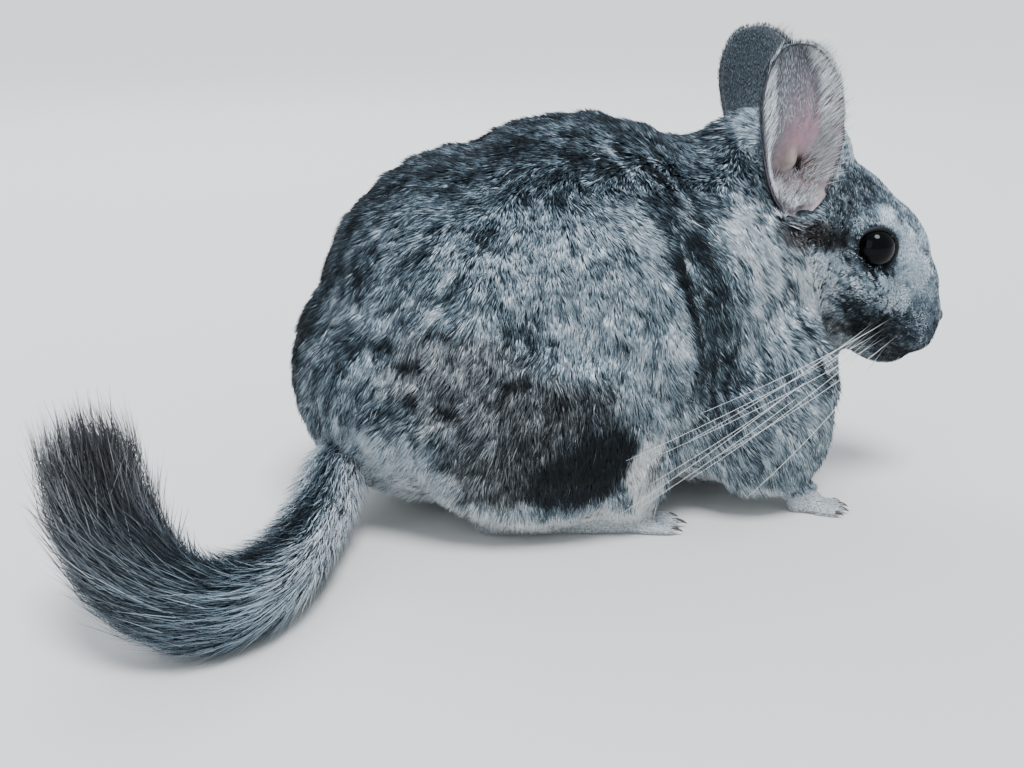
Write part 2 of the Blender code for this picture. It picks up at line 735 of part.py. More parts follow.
def set_on_origin(objects):
    """Puts the middle of the whole box, at floor level, on the origin."""
    corners = [v.co for obj in objects for v in obj.data.vertices]
    low = Vector(min(c[i] for c in corners) for i in range(3))
    high = Vector(max(c[i] for c in corners) for i in range(3))
    shift = Matrix.Translation((-(low.x + high.x) / 2, -(low.y + high.y) / 2, -low.z))
    for obj in objects:
        obj.data.transform(shift)


main()
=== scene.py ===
"""The looks of the life-size chinchilla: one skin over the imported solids, its coat, ears, eyes and whiskers.

Places are in millimetres in the animal's own frame, which faces +X with +Y its left and the floor
at 0, until a mesh is made. The row frame is that frame moved by SHIFT. The head has a frame of its
own, with its origin midway between the eyes, x along the muzzle and z up through the crown.
"""

import itertools
import math

import bmesh
import bpy
import numpy as np
from mathutils import Matrix, Vector
from mathutils.bvhtree import BVHTree
from mathutils.kdtree import KDTree


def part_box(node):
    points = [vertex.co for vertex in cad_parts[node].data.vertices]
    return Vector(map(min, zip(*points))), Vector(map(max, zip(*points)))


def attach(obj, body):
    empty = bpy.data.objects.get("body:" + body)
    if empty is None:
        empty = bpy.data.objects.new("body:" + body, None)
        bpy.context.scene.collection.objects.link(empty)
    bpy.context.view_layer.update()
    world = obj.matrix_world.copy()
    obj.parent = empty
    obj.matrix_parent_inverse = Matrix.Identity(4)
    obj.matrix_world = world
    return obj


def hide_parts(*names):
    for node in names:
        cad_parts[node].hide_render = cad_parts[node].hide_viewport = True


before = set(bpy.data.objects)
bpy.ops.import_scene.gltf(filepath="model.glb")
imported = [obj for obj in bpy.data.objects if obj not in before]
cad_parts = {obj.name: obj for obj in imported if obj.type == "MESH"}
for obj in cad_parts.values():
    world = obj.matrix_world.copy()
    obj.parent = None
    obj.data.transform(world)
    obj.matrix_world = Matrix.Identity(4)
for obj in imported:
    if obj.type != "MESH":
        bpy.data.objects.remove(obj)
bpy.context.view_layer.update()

MM = 0.001
FOOT_CORNER = (-32.77, -46.65)  # the lowest corner of the right hind foot, in the animal's frame
foot_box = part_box("hind_foot_right")[0] / MM
SHIFT = np.array((foot_box.x - FOOT_CORNER[0], foot_box.y - FOOT_CORNER[1], 0.0))
SIDES = (-1, 1)  # right is -1, left is +1
SIDE_NAMES = {-1: "right", 1: "left"}
dice = np.random.default_rng(4)

# The head's frame, its eyes and its ears, as the solids have them
HEAD_AT = np.array((106.0, 1.0, 89.0))
HEAD_PITCH, HEAD_YAW = math.radians(35), math.radians(-7)
HEAD_TURN = np.array((Matrix.Rotation(HEAD_YAW, 3, "Z") @ Matrix.Rotation(HEAD_PITCH, 3, "Y")))
HEAD_PLANE = ((70, 0, 108), (0.93, 0, 0.37))  # where the neck meets the head
EYE_AT, EYE_RADIUS, EYE_LOOKS = (0, -18.2, 0.5), 7.2, (0.16, -1, 0.10)
EAR_ROOT, EAR_TIP = (-29, -28.5, -4), (-66.5, -43.5, 36.5)
EAR_FACES = (0.45, -0.87, 0.15)
EAR_WIDEST, EAR_HALF_WIDTH, EAR_FULLNESS = 0.6, 16, 0.44
EAR_DEPTH, EAR_BOWL, EAR_WALL = 3.5, 9.5, 1.2

# The tail's bone line, and the reach of its hair there
TAIL_LINE = (
    (-67, -8, 31), (-78, -27, 21), (-85, -50, 14), (-92, -74, 12), (-102, -95, 12),
    (-116, -108, 14), (-130, -109, 22), (-139, -103, 33), (-143, -96, 43),
)
TAIL_REACH = (11, 13, 13.5, 13.5, 14.5, 16, 17.5, 18, 17)
TAIL_CORE = 0.36  # of the hair's reach
TAIL_POINTS = 40


def both(*parts):
    """The names of these nodes on the right and on the left."""
    return tuple(f"{part}_{side}" for part in parts for side in SIDE_NAMES.values())


FEET, FORELEGS = both("hind_foot", "fore_paw"), both("foreleg")
FLESH = ("torso", "neck", "head", *both("hind_leg", "hind_foot", "foreleg", "fore_paw"))


def mirrored(values, side):
    """A place or direction of the right side, for the side asked for."""
    return np.array((values[0], values[1] * -side, values[2]), float)


def from_head(points):
    return np.asarray(points, float) @ HEAD_TURN.T + HEAD_AT


def to_head(points):
    return (np.asarray(points, float) - HEAD_AT) @ HEAD_TURN


def placed(points):
    """Places in the row frame, in metres."""
    return (np.asarray(points) + SHIFT) * MM


def eye_place(side):
    return from_head(mirrored(EYE_AT, side))


def folded(points, side):
    """The points of both sides, laid on one of them."""
    return points * (1, 0, 1) + np.abs(points) * (0, side, 0)


def oval_share(points, centre, radii):
    """How far out in an oval each point lies: 0 at its centre and 1 on its edge."""
    return np.linalg.norm((points - centre) / radii, axis=1)


def past_neck(points):
    """How far each point lies in front of the plane where the neck meets the head."""
    at, normal = HEAD_PLANE
    return (points - at) @ normal


def unit(vectors):
    return vectors / np.maximum(np.linalg.norm(vectors, axis=-1, keepdims=True), 1e-9)


def dot(a, b):
    return np.einsum("...i,...i->...", a, b)


def smooth(low, high, values):
    """0 below low, 1 above high and an even slope between them."""
    share = np.clip((values - low) / (high - low), 0, 1)
    return share * share * (3 - 2 * share)


def fade(low, high, values):
    """1 below low, 0 above high and an even slope between them."""
    return 1 - smooth(low, high, values)


def mix(a, b, share):
    return a + (b - a) * share


def noise(points, size, seed):
    """Smooth random values from about -1 to 1, with lumps of this size in millimetres."""
    scaled = points / size + seed * 17.31
    cell = np.floor(scaled).astype(np.int64)
    part = scaled - cell
    part = part * part * (3 - 2 * part)
    total = np.zeros(len(points))
    for corner in itertools.product((0, 1), repeat=3):
        at = cell + corner
        code = (at[:, 0] * 73856093) ^ (at[:, 1] * 19349663) ^ (at[:, 2] * 83492791)
        code = ((code ^ (code >> 13)) * 1540483477) & 0xFFFFFFFF
        code = ((code ^ (code >> 15)) * 2246822519) & 0xFFFFFFFF
        value = (code ^ (code >> 13)) / 0xFFFFFFFF
        total += value * np.prod(np.where(corner, part, 1 - part), axis=1)
    return np.clip((total * 2 - 1) * 1.7, -1, 1)


def wobbled(points, size, seed, reach):
    """The points moved about by noise, each axis with a seed of its own."""
    return points + np.stack([noise(points, size, seed + i) for i in range(3)], axis=1) * reach


def drawn_out(points, way, share):
    """The points with their distances along a way cut by a share, so that noise on them runs along it."""
    return points - np.outer(points @ way, way) * share


def linear(code):
    """An sRGB hex colour as linear values."""
    parts = np.array([int(code[i:i + 2], 16) / 255 for i in (1, 3, 5)])
    return np.where(parts <= 0.04045, parts / 12.92, ((parts + 0.055) / 1.055) ** 2.4)


# Hair colours from the darkest to the lightest, at even steps
COOL_HAIR = ("#090d11", "#2c3a43", "#758995", "#bbccd7", "#f4f9fc")
WARM_HAIR = ("#100d0c", "#3d3531", "#867c74", "#c6bdb5", "#f8f4ee")


def hair_colour(level, warm):
    """Linear colours for lightness levels from 0 to 1, mixed from cool to warm."""
    steps = np.linspace(0, 1, len(COOL_HAIR))
    ramps = (np.transpose([linear(code) for code in codes]) for codes in (COOL_HAIR, WARM_HAIR))
    cool, brown = (np.stack([np.interp(level, steps, part) for part in ramp], axis=-1) for ramp in ramps)
    return mix(cool, brown, np.clip(warm, 0, 1)[..., None])


def painted(colours, code, share):
    """Colours mixed with a hex colour, by its share at each point."""
    return mix(colours, linear(code), share[:, None])


# Materials

def add_node(tree, kind, settings=None, **links):
    """Adds a node with its sockets set by settings, and each named input linked to an output."""
    node = tree.nodes.new(kind)
    for name, value in (settings or {}).items():
        if name in node.inputs:
            node.inputs[name].default_value = value
        else:
            setattr(node, name, value)
    for name, output in links.items():
        tree.links.new(output, node.inputs[name.replace("_", " ")])
    return node


def new_material(name, colour=None, **settings):
    """A material and its tree and surface shader, with the shader's sockets set."""
    material = bpy.data.materials.new(name)
    material.use_nodes = True
    tree = material.node_tree
    shader = tree.nodes["Principled BSDF"]
    for socket, value in settings.items():
        shader.inputs[socket.replace("_", " ")].default_value = value
    if colour:
        shader.inputs["Base Color"].default_value = (*linear(colour), 1)
    return material, tree, shader


def add_noise(tree, place, grain, detail=2.0):
    """Noise with lumps of this size in millimetres."""
    settings = {"Scale": 1 / (grain * MM), "Detail": detail}
    return add_node(tree, "ShaderNodeTexNoise", settings, Vector=place).outputs["Fac"]


def coat_colour(tree):
    """The colour stored in the points."""
    return add_node(tree, "ShaderNodeVertexColor", {"layer_name": "coat"}).outputs["Color"]


def tint(tree, shader, grain, detail, low, high):
    """Colours a shader as its points say, lighter and darker by noise of this grain. Returns its place."""
    place = add_node(tree, "ShaderNodeTexCoord").outputs["Object"]
    lumps = add_noise(tree, place, grain, detail)
    value = add_node(tree, "ShaderNodeMapRange", {"To Min": low, "To Max": high}, Value=lumps)
    tinted = add_node(tree, "ShaderNodeHueSaturation", Color=coat_colour(tree), Value=value.outputs["Result"])
    tree.links.new(tinted.outputs["Color"], shader.inputs["Base Color"])
    return place


def hair_material():
    """Underfur and guard hairs: the colour is in each tuft, and fine noise breaks it along the hair."""
    material, tree, shader = new_material("ticked_fur", Roughness=0.62, Specular_IOR_Level=0.25)
    tint(tree, shader, 0.9, 2.0, 0.72, 1.28)
    return material


def skin_material():
    """Short down and bare skin: fine pores and nap as bump, with the marks in the points."""
    material, tree, shader = new_material("downy_skin", Roughness=0.6, Specular_IOR_Level=0.25)
    place = tint(tree, shader, 1.4, 4.0, 0.8, 1.2)
    nap = add_noise(tree, place, 0.35, 3.0)
    bump = add_node(tree, "ShaderNodeBump", {"Strength": 0.5, "Distance": 0.25 * MM}, Height=nap)
    tree.links.new(bump.outputs["Normal"], shader.inputs["Normal"])
    return material


# Meshes

def finish_piece(obj, material, slot, *nodes):
    """Gives a piece its material and its body, and hides the nodes that it stands for. The slot is not used.
    """
    obj.data.materials.clear()
    obj.data.materials.append(material)
    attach(obj, "root")
    if nodes:
        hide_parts(*nodes)


def new_object(name, data):
    """An object in the scene that shows this data."""
    obj = bpy.data.objects.new(name, data)
    bpy.context.scene.collection.objects.link(obj)
    return obj


def new_piece(name, points, faces):
    """An object from points in the animal's frame, smooth shaded."""
    mesh = bpy.data.meshes.new(name)
    rows = placed(points).astype(np.float32)
    if isinstance(faces, np.ndarray):
        mesh.vertices.add(len(rows))
        mesh.vertices.foreach_set("co", rows.ravel())
        mesh.loops.add(faces.size)
        mesh.loops.foreach_set("vertex_index", faces.astype(np.int32).ravel())
        mesh.polygons.add(len(faces))
        mesh.polygons.foreach_set("loop_start", np.arange(0, faces.size, faces.shape[1], dtype=np.int32))
        mesh.update(calc_edges=True)
    else:
        mesh.from_pydata(rows.tolist(), [], faces)
    mesh.shade_smooth()
    return new_object(name, mesh)


def apply_modifiers(obj):
    bpy.context.view_layer.objects.active = obj
    for modifier in list(obj.modifiers):
        bpy.ops.object.modifier_apply(modifier=modifier.name)


def colour_points(obj, colours):
    """Stores a linear colour for each point under the name that the materials read."""
    layer = obj.data.color_attributes.new("coat", "FLOAT_COLOR", "POINT")
    rgba = np.ones((len(colours), 4), np.float32)
    rgba[:, :3] = np.clip(colours, 0, 1)
    layer.data.foreach_set("color", rgba.ravel())


def read(values, key, size, kind=np.float32):
    """One value of each element of a mesh, as rows of this size."""
    found = np.empty(len(values) * size, kind)
    values.foreach_get(key, found)
    return found.reshape(-1, size)


def read_points(mesh):
    """The points of a mesh in the animal's frame, and their normals."""
    return (read(mesh.vertices, "co", 3).astype(float) / MM - SHIFT,
            read(mesh.vertices, "normal", 3).astype(float))


def read_triangles(mesh):
    """Triangles of a mesh as corner points and as loops."""
    mesh.calc_loop_triangles()
    return [read(mesh.loop_triangles, key, 3, np.int32) for key in ("vertices", "loops")]


def evened(points, edges, rounds, share=0.5):
    """Moves each point towards the middle of its neighbours, some rounds."""
    count = np.bincount(edges.ravel(), minlength=len(points))[:, None]
    for _ in range(rounds):
        total = np.zeros_like(points)
        np.add.at(total, edges[:, 0], points[edges[:, 1]])
        np.add.at(total, edges[:, 1], points[edges[:, 0]])
        points = mix(points, total / np.maximum(count, 1), share)
    return points


def nearness(points, nodes, reach):
    """1 on the solids of these nodes, falling to 0 at this distance from them."""
    gap = np.full(len(points), 1e3)
    for name in nodes:
        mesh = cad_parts[name].data
        at, _ = read_points(mesh)
        corners, _ = read_triangles(mesh)
        tree = BVHTree.FromPolygons(at.tolist(), corners.tolist())
        low, high = at.min(axis=0) - reach, at.max(axis=0) + reach
        near = np.flatnonzero(((points > low) & (points < high)).all(axis=1))
        for i in near:
            found = tree.find_nearest(points[i].tolist(), reach)
            if found[3] is not None:
                gap[i] = min(gap[i], found[3])
    return fade(0.25 * reach, reach, gap)


def grid(rows, columns, closed_rows=False, closed_columns=False):
    """Faces between the points of a grid that is listed row by row."""
    faces = []
    for i, j in itertools.product(range(rows - (not closed_rows)), range(columns - (not closed_columns))):
        a, b, k = i * columns, (i + 1) % rows * columns, (j + 1) % columns
        faces.append((a + j, a + k, b + k, b + j))
    return faces


def tube(line, radii, sides):
    """Points and faces of a closed tube along a line, with its radius at each point of the line."""
    line = np.asarray(line, float)
    ways = unit(np.gradient(line, axis=0))
    across = unit(np.cross(ways, (0.0, 0.0, 1.0)))[:, None]
    rise = np.cross(across, ways[:, None])
    turns = (2 * math.pi * np.arange(sides) / sides)[:, None]
    points = line[:, None] + (across * np.cos(turns) + rise * np.sin(turns)) * np.reshape(radii, (-1, 1, 1))
    faces = [(a, d, c, b) for a, b, c, d in grid(len(line), sides, closed_columns=True)]
    ends = range(sides), reversed(range((len(line) - 1) * sides, len(line) * sides))
    return points.reshape(-1, 3), faces + [tuple(end) for end in ends]


def gathered(parts):
    """Points and faces of several meshes as one."""
    points, faces = [], []
    for made, flat in parts:
        faces += [tuple(i + len(points) for i in face) for face in flat]
        points += list(made)
    return points, faces


def curve_through(points, count):
    """count points, evenly spaced, along a smooth curve through the given ones."""
    spline = [Vector(p) for p in points]
    ends = [2 * spline[0] - spline[1], *spline, 2 * spline[-1] - spline[-2]]
    dense = []
    for i in range(1, len(ends) - 2):
        a, b, c, d = ends[i - 1:i + 3]
        for step in range(20):
            t = step / 20
            dense.append(0.5 * (2 * b + (c - a) * t + (2 * a - 5 * b + 4 * c - d) * t * t
                                + (3 * b - a - 3 * c + d) * t ** 3))
    dense = np.array([*dense, spline[-1]])
    lengths = np.concatenate(([0], np.cumsum(np.linalg.norm(np.diff(dense, axis=0), axis=1))))
    wanted = np.linspace(0, lengths[-1], count)
    return np.stack([np.interp(wanted, lengths, dense[:, i]) for i in range(3)], axis=1)


# The ears

def ear_frame(side):
    """Root, height, and the up, across and facing directions of one ear, in the animal's frame."""
    root = from_head(mirrored(EAR_ROOT, side))
    tip = from_head(mirrored(EAR_TIP, side))
    up = unit(tip - root)
    faces = mirrored(EAR_FACES, side) @ HEAD_TURN.T
    faces = unit(faces - up * dot(faces, up))
    return root, np.linalg.norm(tip - root), up, np.cross(up, faces), faces


def ear_section(level):
    """(half width, depth, forward lean) of the ear's cup at a share of its height."""
    if level < EAR_WIDEST:
        half = EAR_HALF_WIDTH * (1 - ((EAR_WIDEST - level) / EAR_WIDEST) ** 2) ** EAR_FULLNESS
    else:
        half = EAR_HALF_WIDTH * math.sqrt(1 - ((level - EAR_WIDEST) / (1 - EAR_WIDEST)) ** 2.3)
    depth = EAR_DEPTH + EAR_BOWL * math.exp(-((level - 0.24) / 0.2) ** 2)
    return half, depth * min(1, half / 7), 2.5 * math.sin(math.pi * level) - 3 * level


def ear_place(side, level, over, lift=0.0):
    """A point of the cup's inside: level up it and over across it, from -1 to 1, lifted off its floor."""
    root, height, up, across, faces = ear_frame(side)
    half, depth, lean = ear_section(level)
    sunk = depth * (1 - abs(over) ** 2.2)
    return root + up * (height * level) + across * (half * over) + faces * (lean - sunk + lift)


def ear_mound(level, behind, at, reach):
    """1 at a place in the cup and less round it, by its reach up the ear and back across it."""
    return np.exp(-((level - at[0]) / reach[0]) ** 2 - ((behind - at[1]) / reach[1]) ** 2)


EAR_ROWS, EAR_COLUMNS = 72, 48
EAR_LOBE, EAR_CANAL = (0.29, -0.02), (0.185, -0.52)  # level, and how far back across the cup


def ear_cup(side):
    """Points and faces of the ear: a thin cup with a rolled rim, a lobe and a canal in its bowl."""
    front, back = [], []
    for i in range(EAR_ROWS + 1):
        level = 0.5 - 0.492 * math.cos(math.pi * i / EAR_ROWS)
        for j in range(EAR_COLUMNS + 1):
            over = math.sin(math.pi / 2 * (2 * j / EAR_COLUMNS - 1))
            behind = over * side
            edge = max(abs(over), abs(2 * level - 1) ** 2) ** 6
            lobe = 6.0 * ear_mound(level, behind, EAR_LOBE, (0.085, 0.27))
            lobe += 3.0 * ear_mound(level, behind, (0.12, -0.1), (0.06, 0.5))
            lobe -= 0.6 * ear_mound(level, behind, EAR_CANAL, (0.05, 0.16))
            ripple = 0.3 * math.sin(11 * over + 5 * level) + 0.25 * math.sin(23 * over - 9 * level)
            roll = 0.8 * math.exp(-((abs(over) - 0.93) / 0.06) ** 2)
            front.append(ear_place(side, level, over, (lobe + ripple) * (1 - edge) + roll))
            back.append(ear_place(side, level, over, -EAR_WALL * (1 - 0.45 * edge) + roll))
    columns = EAR_COLUMNS + 1
    faces = grid(EAR_ROWS + 1, columns)
    faces += [tuple(i + len(front) for i in reversed(face)) for face in faces]
    border = list(range(columns))
    border += [i * columns + columns - 1 for i in range(1, EAR_ROWS + 1)]
    border += [EAR_ROWS * columns + j for j in range(columns - 2, -1, -1)]
    border += [i * columns for i in range(EAR_ROWS - 1, 0, -1)]
    for a, b in zip(border, border[1:] + border[:1]):
        faces.append((b, a, a + len(front), b + len(front)))
    return np.array(front + back), faces


def on_ear(points, side):
    """(level, over, lift) of each point by one ear's cup. Off it, level leaves 0 to 1 or over -1 to 1."""
    root, height, up, across, faces = ear_frame(side)
    away = points - root
    level = away @ up / height
    inside = np.clip(level, 0.004, 0.996)
    half, depth, lean = np.array([ear_section(v) for v in inside]).T
    over = away @ across / np.maximum(half, 0.5)
    sunk = depth * (1 - np.clip(np.abs(over), 0, 1) ** 2.2)
    return level, over, away @ faces - (lean - sunk)


# The skin

EAR_STEM, EYE_SOCKET = 6.5, EYE_RADIUS - 0.6  # radii of the skin's balls in the ear's root and the eye
MOUTH_LINE = ((45, 0, -22.8), (42, -1.5, -23.5), (35, -8.5, -25), (26, -12.5, -24.5), (18, -15.5, -21))
MOUTH_POINTS = 14
NOSE_AT, NOSTRIL_AT = (39.4, 0, -6.6), (41.6, -2.5, -6.9)


def head_share(points):
    """1 on the head, 0 on the trunk."""
    return smooth(-7, 9, past_neck(points))


def foot_share(points):
    """1 on the feet, 0 away from them."""
    return nearness(points, FEET, 4)


def skin_depth(points, head, feet):
    """How far the skin lies under the coat's outline."""
    local = to_head(points)
    face = mix(4.2, 1.9, smooth(-34, -14, local[:, 0]))
    face = mix(face, 1.0, smooth(12, 26, local[:, 0]))
    depth = mix(3.8, face, head)
    depth = mix(depth, 2.6, nearness(points, FORELEGS, 9))
    return mix(depth, 0.8, feet)


SWELL, VOXEL = 0.45, 1.3  # the solids swell by this to meet, and are made into one mesh of this size
LOWEST_SKIN, LOWEST_HAIR = 0.25, 0.15  # over the floor
EVENING_ROUNDS = 3


def make_base():
    """The skin of trunk, head and legs: the flesh solids joined and drawn in by the coat's depth.

    It returns the skin and, at each of its points, the coat's outline and the share of foot there.
    """
    bm = bmesh.new()
    for name in FLESH:
        bm.from_mesh(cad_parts[name].data)
    bmesh.ops.remove_doubles(bm, verts=bm.verts, dist=1e-6)
    for side in SIDES:
        for at, radius in ((eye_place(side), EYE_SOCKET), (ear_place(side, 0.16, 0.0, -EAR_STEM), EAR_STEM)):
            bmesh.ops.create_uvsphere(bm, u_segments=24, v_segments=16, radius=radius * MM,
                                      matrix=Matrix.Translation(placed(at)))
    mesh = bpy.data.meshes.new("skin")
    bm.to_mesh(mesh)
    bm.free()
    skin = new_object("skin", mesh)
    swell = skin.modifiers.new("swell", "DISPLACE")
    swell.strength = SWELL * MM
    swell.mid_level = 0
    remesh = skin.modifiers.new("remesh", "REMESH")
    remesh.mode = "VOXEL"
    remesh.voxel_size = VOXEL * MM
    apply_modifiers(skin)
    keep_largest(skin)
    edges = read(skin.data.edges, "vertices", 2, np.int32)
    set_points(skin, evened(read_points(skin.data)[0], edges, EVENING_ROUNDS))
    outline, normals = read_points(skin.data)
    head, feet = head_share(outline), foot_share(outline)
    inner = outline - normals * skin_depth(outline, head, feet)[:, None]
    inner = evened(inner, edges, EVENING_ROUNDS)
    inner[:, 2] = np.maximum(inner[:, 2], LOWEST_SKIN)
    set_points(skin, inner)
    return skin, outline, feet


def keep_largest(obj):
    """Drops every closed surface of an object but the one with the most faces."""
    bm = bmesh.new()
    bm.from_mesh(obj.data)
    seen, groups = set(), []
    for start in bm.verts:
        if start.index in seen:
            continue
        seen.add(start.index)
        stack, group = [start], []
        while stack:
            vert = stack.pop()
            group.append(vert)
            for edge in vert.link_edges:
                other = edge.other_vert(vert)
                if other.index not in seen:
                    seen.add(other.index)
                    stack.append(other)
        groups.append(group)
    groups.sort(key=len)
    for group in groups[:-1]:
        bmesh.ops.delete(bm, geom=group, context="VERTS")
    bm.to_mesh(obj.data)
    bm.free()


def set_points(obj, points):
    obj.data.vertices.foreach_set("co", placed(points).astype(np.float32).ravel())
    obj.data.update()


def eye_axes(side):
    """The ways out of, forward along and up an eye's opening, in the animal's frame."""
    out = unit(mirrored(EYE_LOOKS, side))
    forward = unit(np.cross((0, 0, 1), out) * side * -1)
    rise = unit(np.cross(out, forward) * side * -1)
    return [way @ HEAD_TURN.T for way in (out, forward, rise)]


def eye_lids(side):
    """A closed ring of skin round the eye, thicker above, with a corner in front and behind."""
    around, through = 56, 12
    centre = eye_place(side)
    out, forward, rise = eye_axes(side)
    points = []
    for i in range(around):
        turn = 2 * math.pi * i / around
        corner = abs(math.cos(turn)) ** 6
        ray = forward * math.cos(turn) + rise * math.sin(turn)
        thick = 0.85 + 0.2 * math.sin(turn) - 0.1 * corner
        middle = centre + ray * (6.8 + 0.5 * corner) + out * (2.5 - 0.5 * corner)
        for j in range(through):
            bend = 2 * math.pi * j / through
            points.append(middle + ray * (thick * math.cos(bend)) + out * (1.2 * thick * math.sin(bend)))
    return points, grid(around, through, True, True)


def joined(base, pieces, operation):
    """Boolean of closed pieces on a base, with the pieces removed after."""
    group = bpy.data.collections.new("cutters")
    for piece in pieces:
        bm = bmesh.new()
        bm.from_mesh(piece.data)
        bmesh.ops.recalc_face_normals(bm, faces=bm.faces)
        bm.to_mesh(piece.data)
        bm.free()
        group.objects.link(piece)
    cut = base.modifiers.new("cut", "BOOLEAN")
    cut.operation, cut.operand_type, cut.collection, cut.solver = operation, "COLLECTION", group, "MANIFOLD"
    apply_modifiers(base)
    for piece in pieces:
        bpy.data.objects.remove(piece)
    bpy.data.collections.remove(group)


def tail_core(line, reach):
    radii = reach * TAIL_CORE
    radii[-1] *= 0.5
    return tube(line, radii, 16)


def ball(name, at, radii):
    """A closed oval in the head's frame."""
    bm = bmesh.new()
    bmesh.ops.create_uvsphere(bm, u_segments=24, v_segments=16, radius=1.0)
    points = [from_head(np.array(v.co) * radii + at) for v in bm.verts]
    faces = [tuple(v.index for v in f.verts) for f in bm.faces]
    bm.free()
    return new_piece(name, points, faces)


def make_skin(base, line, reach):
    """The shown skin: the base with ears, lids and tail core fused on and the mouth and nostrils cut in."""
    skin = new_object("skin_whole", base.data.copy())
    added = [new_piece("core", *tail_core(line, reach))]
    for side in SIDES:
        added.append(new_piece("ear", *ear_cup(side)))
        added.append(new_piece("lid", *eye_lids(side)))
    added.append(ball("nose", NOSE_AT, (2.7, 4.0, 2.9)))
    joined(skin, added, "UNION")
    cuts = []
    for side in SIDES:
        path = curve_through([from_head(mirrored(p, side)) for p in MOUTH_LINE], MOUTH_POINTS)
        cuts.append(new_piece("mouth", *tube(path, np.linspace(0.75, 0.45, MOUTH_POINTS), 8)))
        cuts.append(ball("nostril", mirrored(NOSTRIL_AT, side), (1.9, 0.85, 1.25)))
    joined(skin, cuts, "DIFFERENCE")
    return skin


# Markings: level is the lightness from 0 to 1, warm how brown it is. They are the same on both sides.
# (centre, radii, level, warm, strength)
TRUNK_MARKS = (
    ((-35, 45, 100), (44, 26, 26), 0.50, 0.0, 0.7),  # ticked upper flank
    ((0, 50, 88), (34, 18, 24), 0.56, 0.0, 0.8),
    ((14, 56, 66), (24, 18, 30), 0.60, 0.0, 0.8),
    ((-56, 50, 80), (20, 22, 16), 0.56, 0.0, 0.7),  # bright swell of the haunch
    ((-40, 55, 56), (30, 22, 20), 0.40, 0.45, 0.8),  # browner lower flank
    ((-12, 60, 48), (26, 16, 14), 0.32, 0.5, 0.75),
    ((-30, 57, 26), (26, 14, 13), 0.30, 0.5, 0.85),
    ((-9, 60, 36), (27, 16, 20), 0.20, 0.45, 0.8),
    ((-74, 36, 60), (12, 22, 24), 0.42, 0.0, 0.6),
    ((-74, 38, 38), (13, 18, 9), 0.62, 0.0, 0.9),  # light band over the hock
    ((-66, 44, 30), (15, 16, 10), 0.80, 0.0, 0.95),
    ((-52, 50, 22), (15, 16, 10), 0.80, 0.05, 0.95),
    ((-50, 40, 8), (20, 18, 8), 0.74, 0.5, 0.9),  # cream under it
    ((62, 34, 95), (21, 18, 30), 0.88, 0.0, 0.9),  # light neck and shoulder
    ((72, 38, 62), (20, 20, 22), 0.78, 0.0, 0.8),
    ((80, 38, 36), (18, 20, 18), 0.66, 0.0, 0.7),
    ((4, 60, 31), (13, 16, 17), 0.0, 0.1, 0.99),  # near-black painted shade before the knee, where the fur under the flank's bulge lies in shadow
    ((-5, 60, 22), (17, 14, 11), 0.02, 0.15, 0.96),
    ((-70, 44, 47), (16, 16, 5.5), 0.26, 0.0, 0.75),  # dark line above the light band
    ((5, 44, 3), (46, 24, 7.5), 0.93, 0.3, 1.0),  # white lower edge
    ((21, 52, 22), (7.5, 12, 17), 1.0, 0.4, 1.0),  # cream knee
    ((58.5, 30, 117), (2.6, 8, 7), 0.05, 0.0, 0.85),  # dark streaks behind the ear
    ((63.5, 33, 107), (2.2, 8, 6), 0.08, 0.0, 0.8),
)
HEAD_MARKS = (
    ((-14, 15, 14), (14, 11, 7), 0.30, 0.1, 0.9),  # dark brow between ear and eye
    ((-20, 24, 6), (9, 10, 7), 0.38, 0.2, 0.85),
    ((-10, 32, -16), (19, 13, 10), 0.96, 0.04, 0.95),  # cheek
    ((-3, 28, -23), (12, 11, 6), 0.92, 0.04, 0.9),
    ((-31, 38, -10), (9, 10, 5), 0.20, 0.7, 0.9),  # brown band under the ear
    ((-21, 34.5, -5), (10, 9, 5), 0.20, 0.7, 0.9),
    ((-12, 29, -3), (6, 8, 4.4), 0.22, 0.55, 0.85),
    ((-3, 16, 11.5), (6, 8, 4.2), 0.95, 0.0, 0.95),  # pale spot over the eye
    ((8, 16, 8.5), (9, 9, 6), 0.95, 0.0, 0.95),  # pale side of the nose bridge
    ((19, 13, 3), (11, 8, 6.5), 0.95, 0.0, 0.9),
    ((27, 10, -1.5), (7, 7, 4.5), 0.78, 0.0, 0.85),
    ((10, 20, -8), (14, 9, 7), 0.88, 0.0, 0.9),  # under the eye
    ((2, 26, -17.5), (6, 8, 3.0), 0.34, 0.25, 0.75),  # soft shade under the cheek
    ((9, 24, -21), (9, 8, 4.5), 0.28, 0.15, 0.8),
    ((20, 18, -23), (13, 9, 7.5), 0.20, 0.25, 0.9),  # dark muzzle round the whiskers
    ((26, 15, -18), (12, 8, 8), 0.19, 0.2, 0.9),
    ((31, 13, -10), (11, 8, 9), 0.38, 0.05, 0.7),
    ((38, 10, -17), (8, 9, 10), 0.34, 0.1, 0.85),
    ((33, 8, -26), (9, 9, 5), 0.20, 0.3, 0.85),  # lips and chin
    ((8, 17, -29), (12, 9, 4), 0.50, 0.6, 0.85),
    ((14, 10, -34), (14, 13, 6), 0.86, 0.2, 0.95),  # white throat
    ((42, 0, -15), (6, 1.3, 7), 0.10, 0.2, 0.9),  # painted shade in the cleft below the nose
    ((0, 18.5, 0.5), (9.2, 9, 8.8), 0.12, 0.0, 0.9),  # dark ring round the eye
)
CLEAN_EDGE, SOFT_EDGE = (0.8, 1.12), (0.55, 1.22)  # of a mark, as shares of its radii


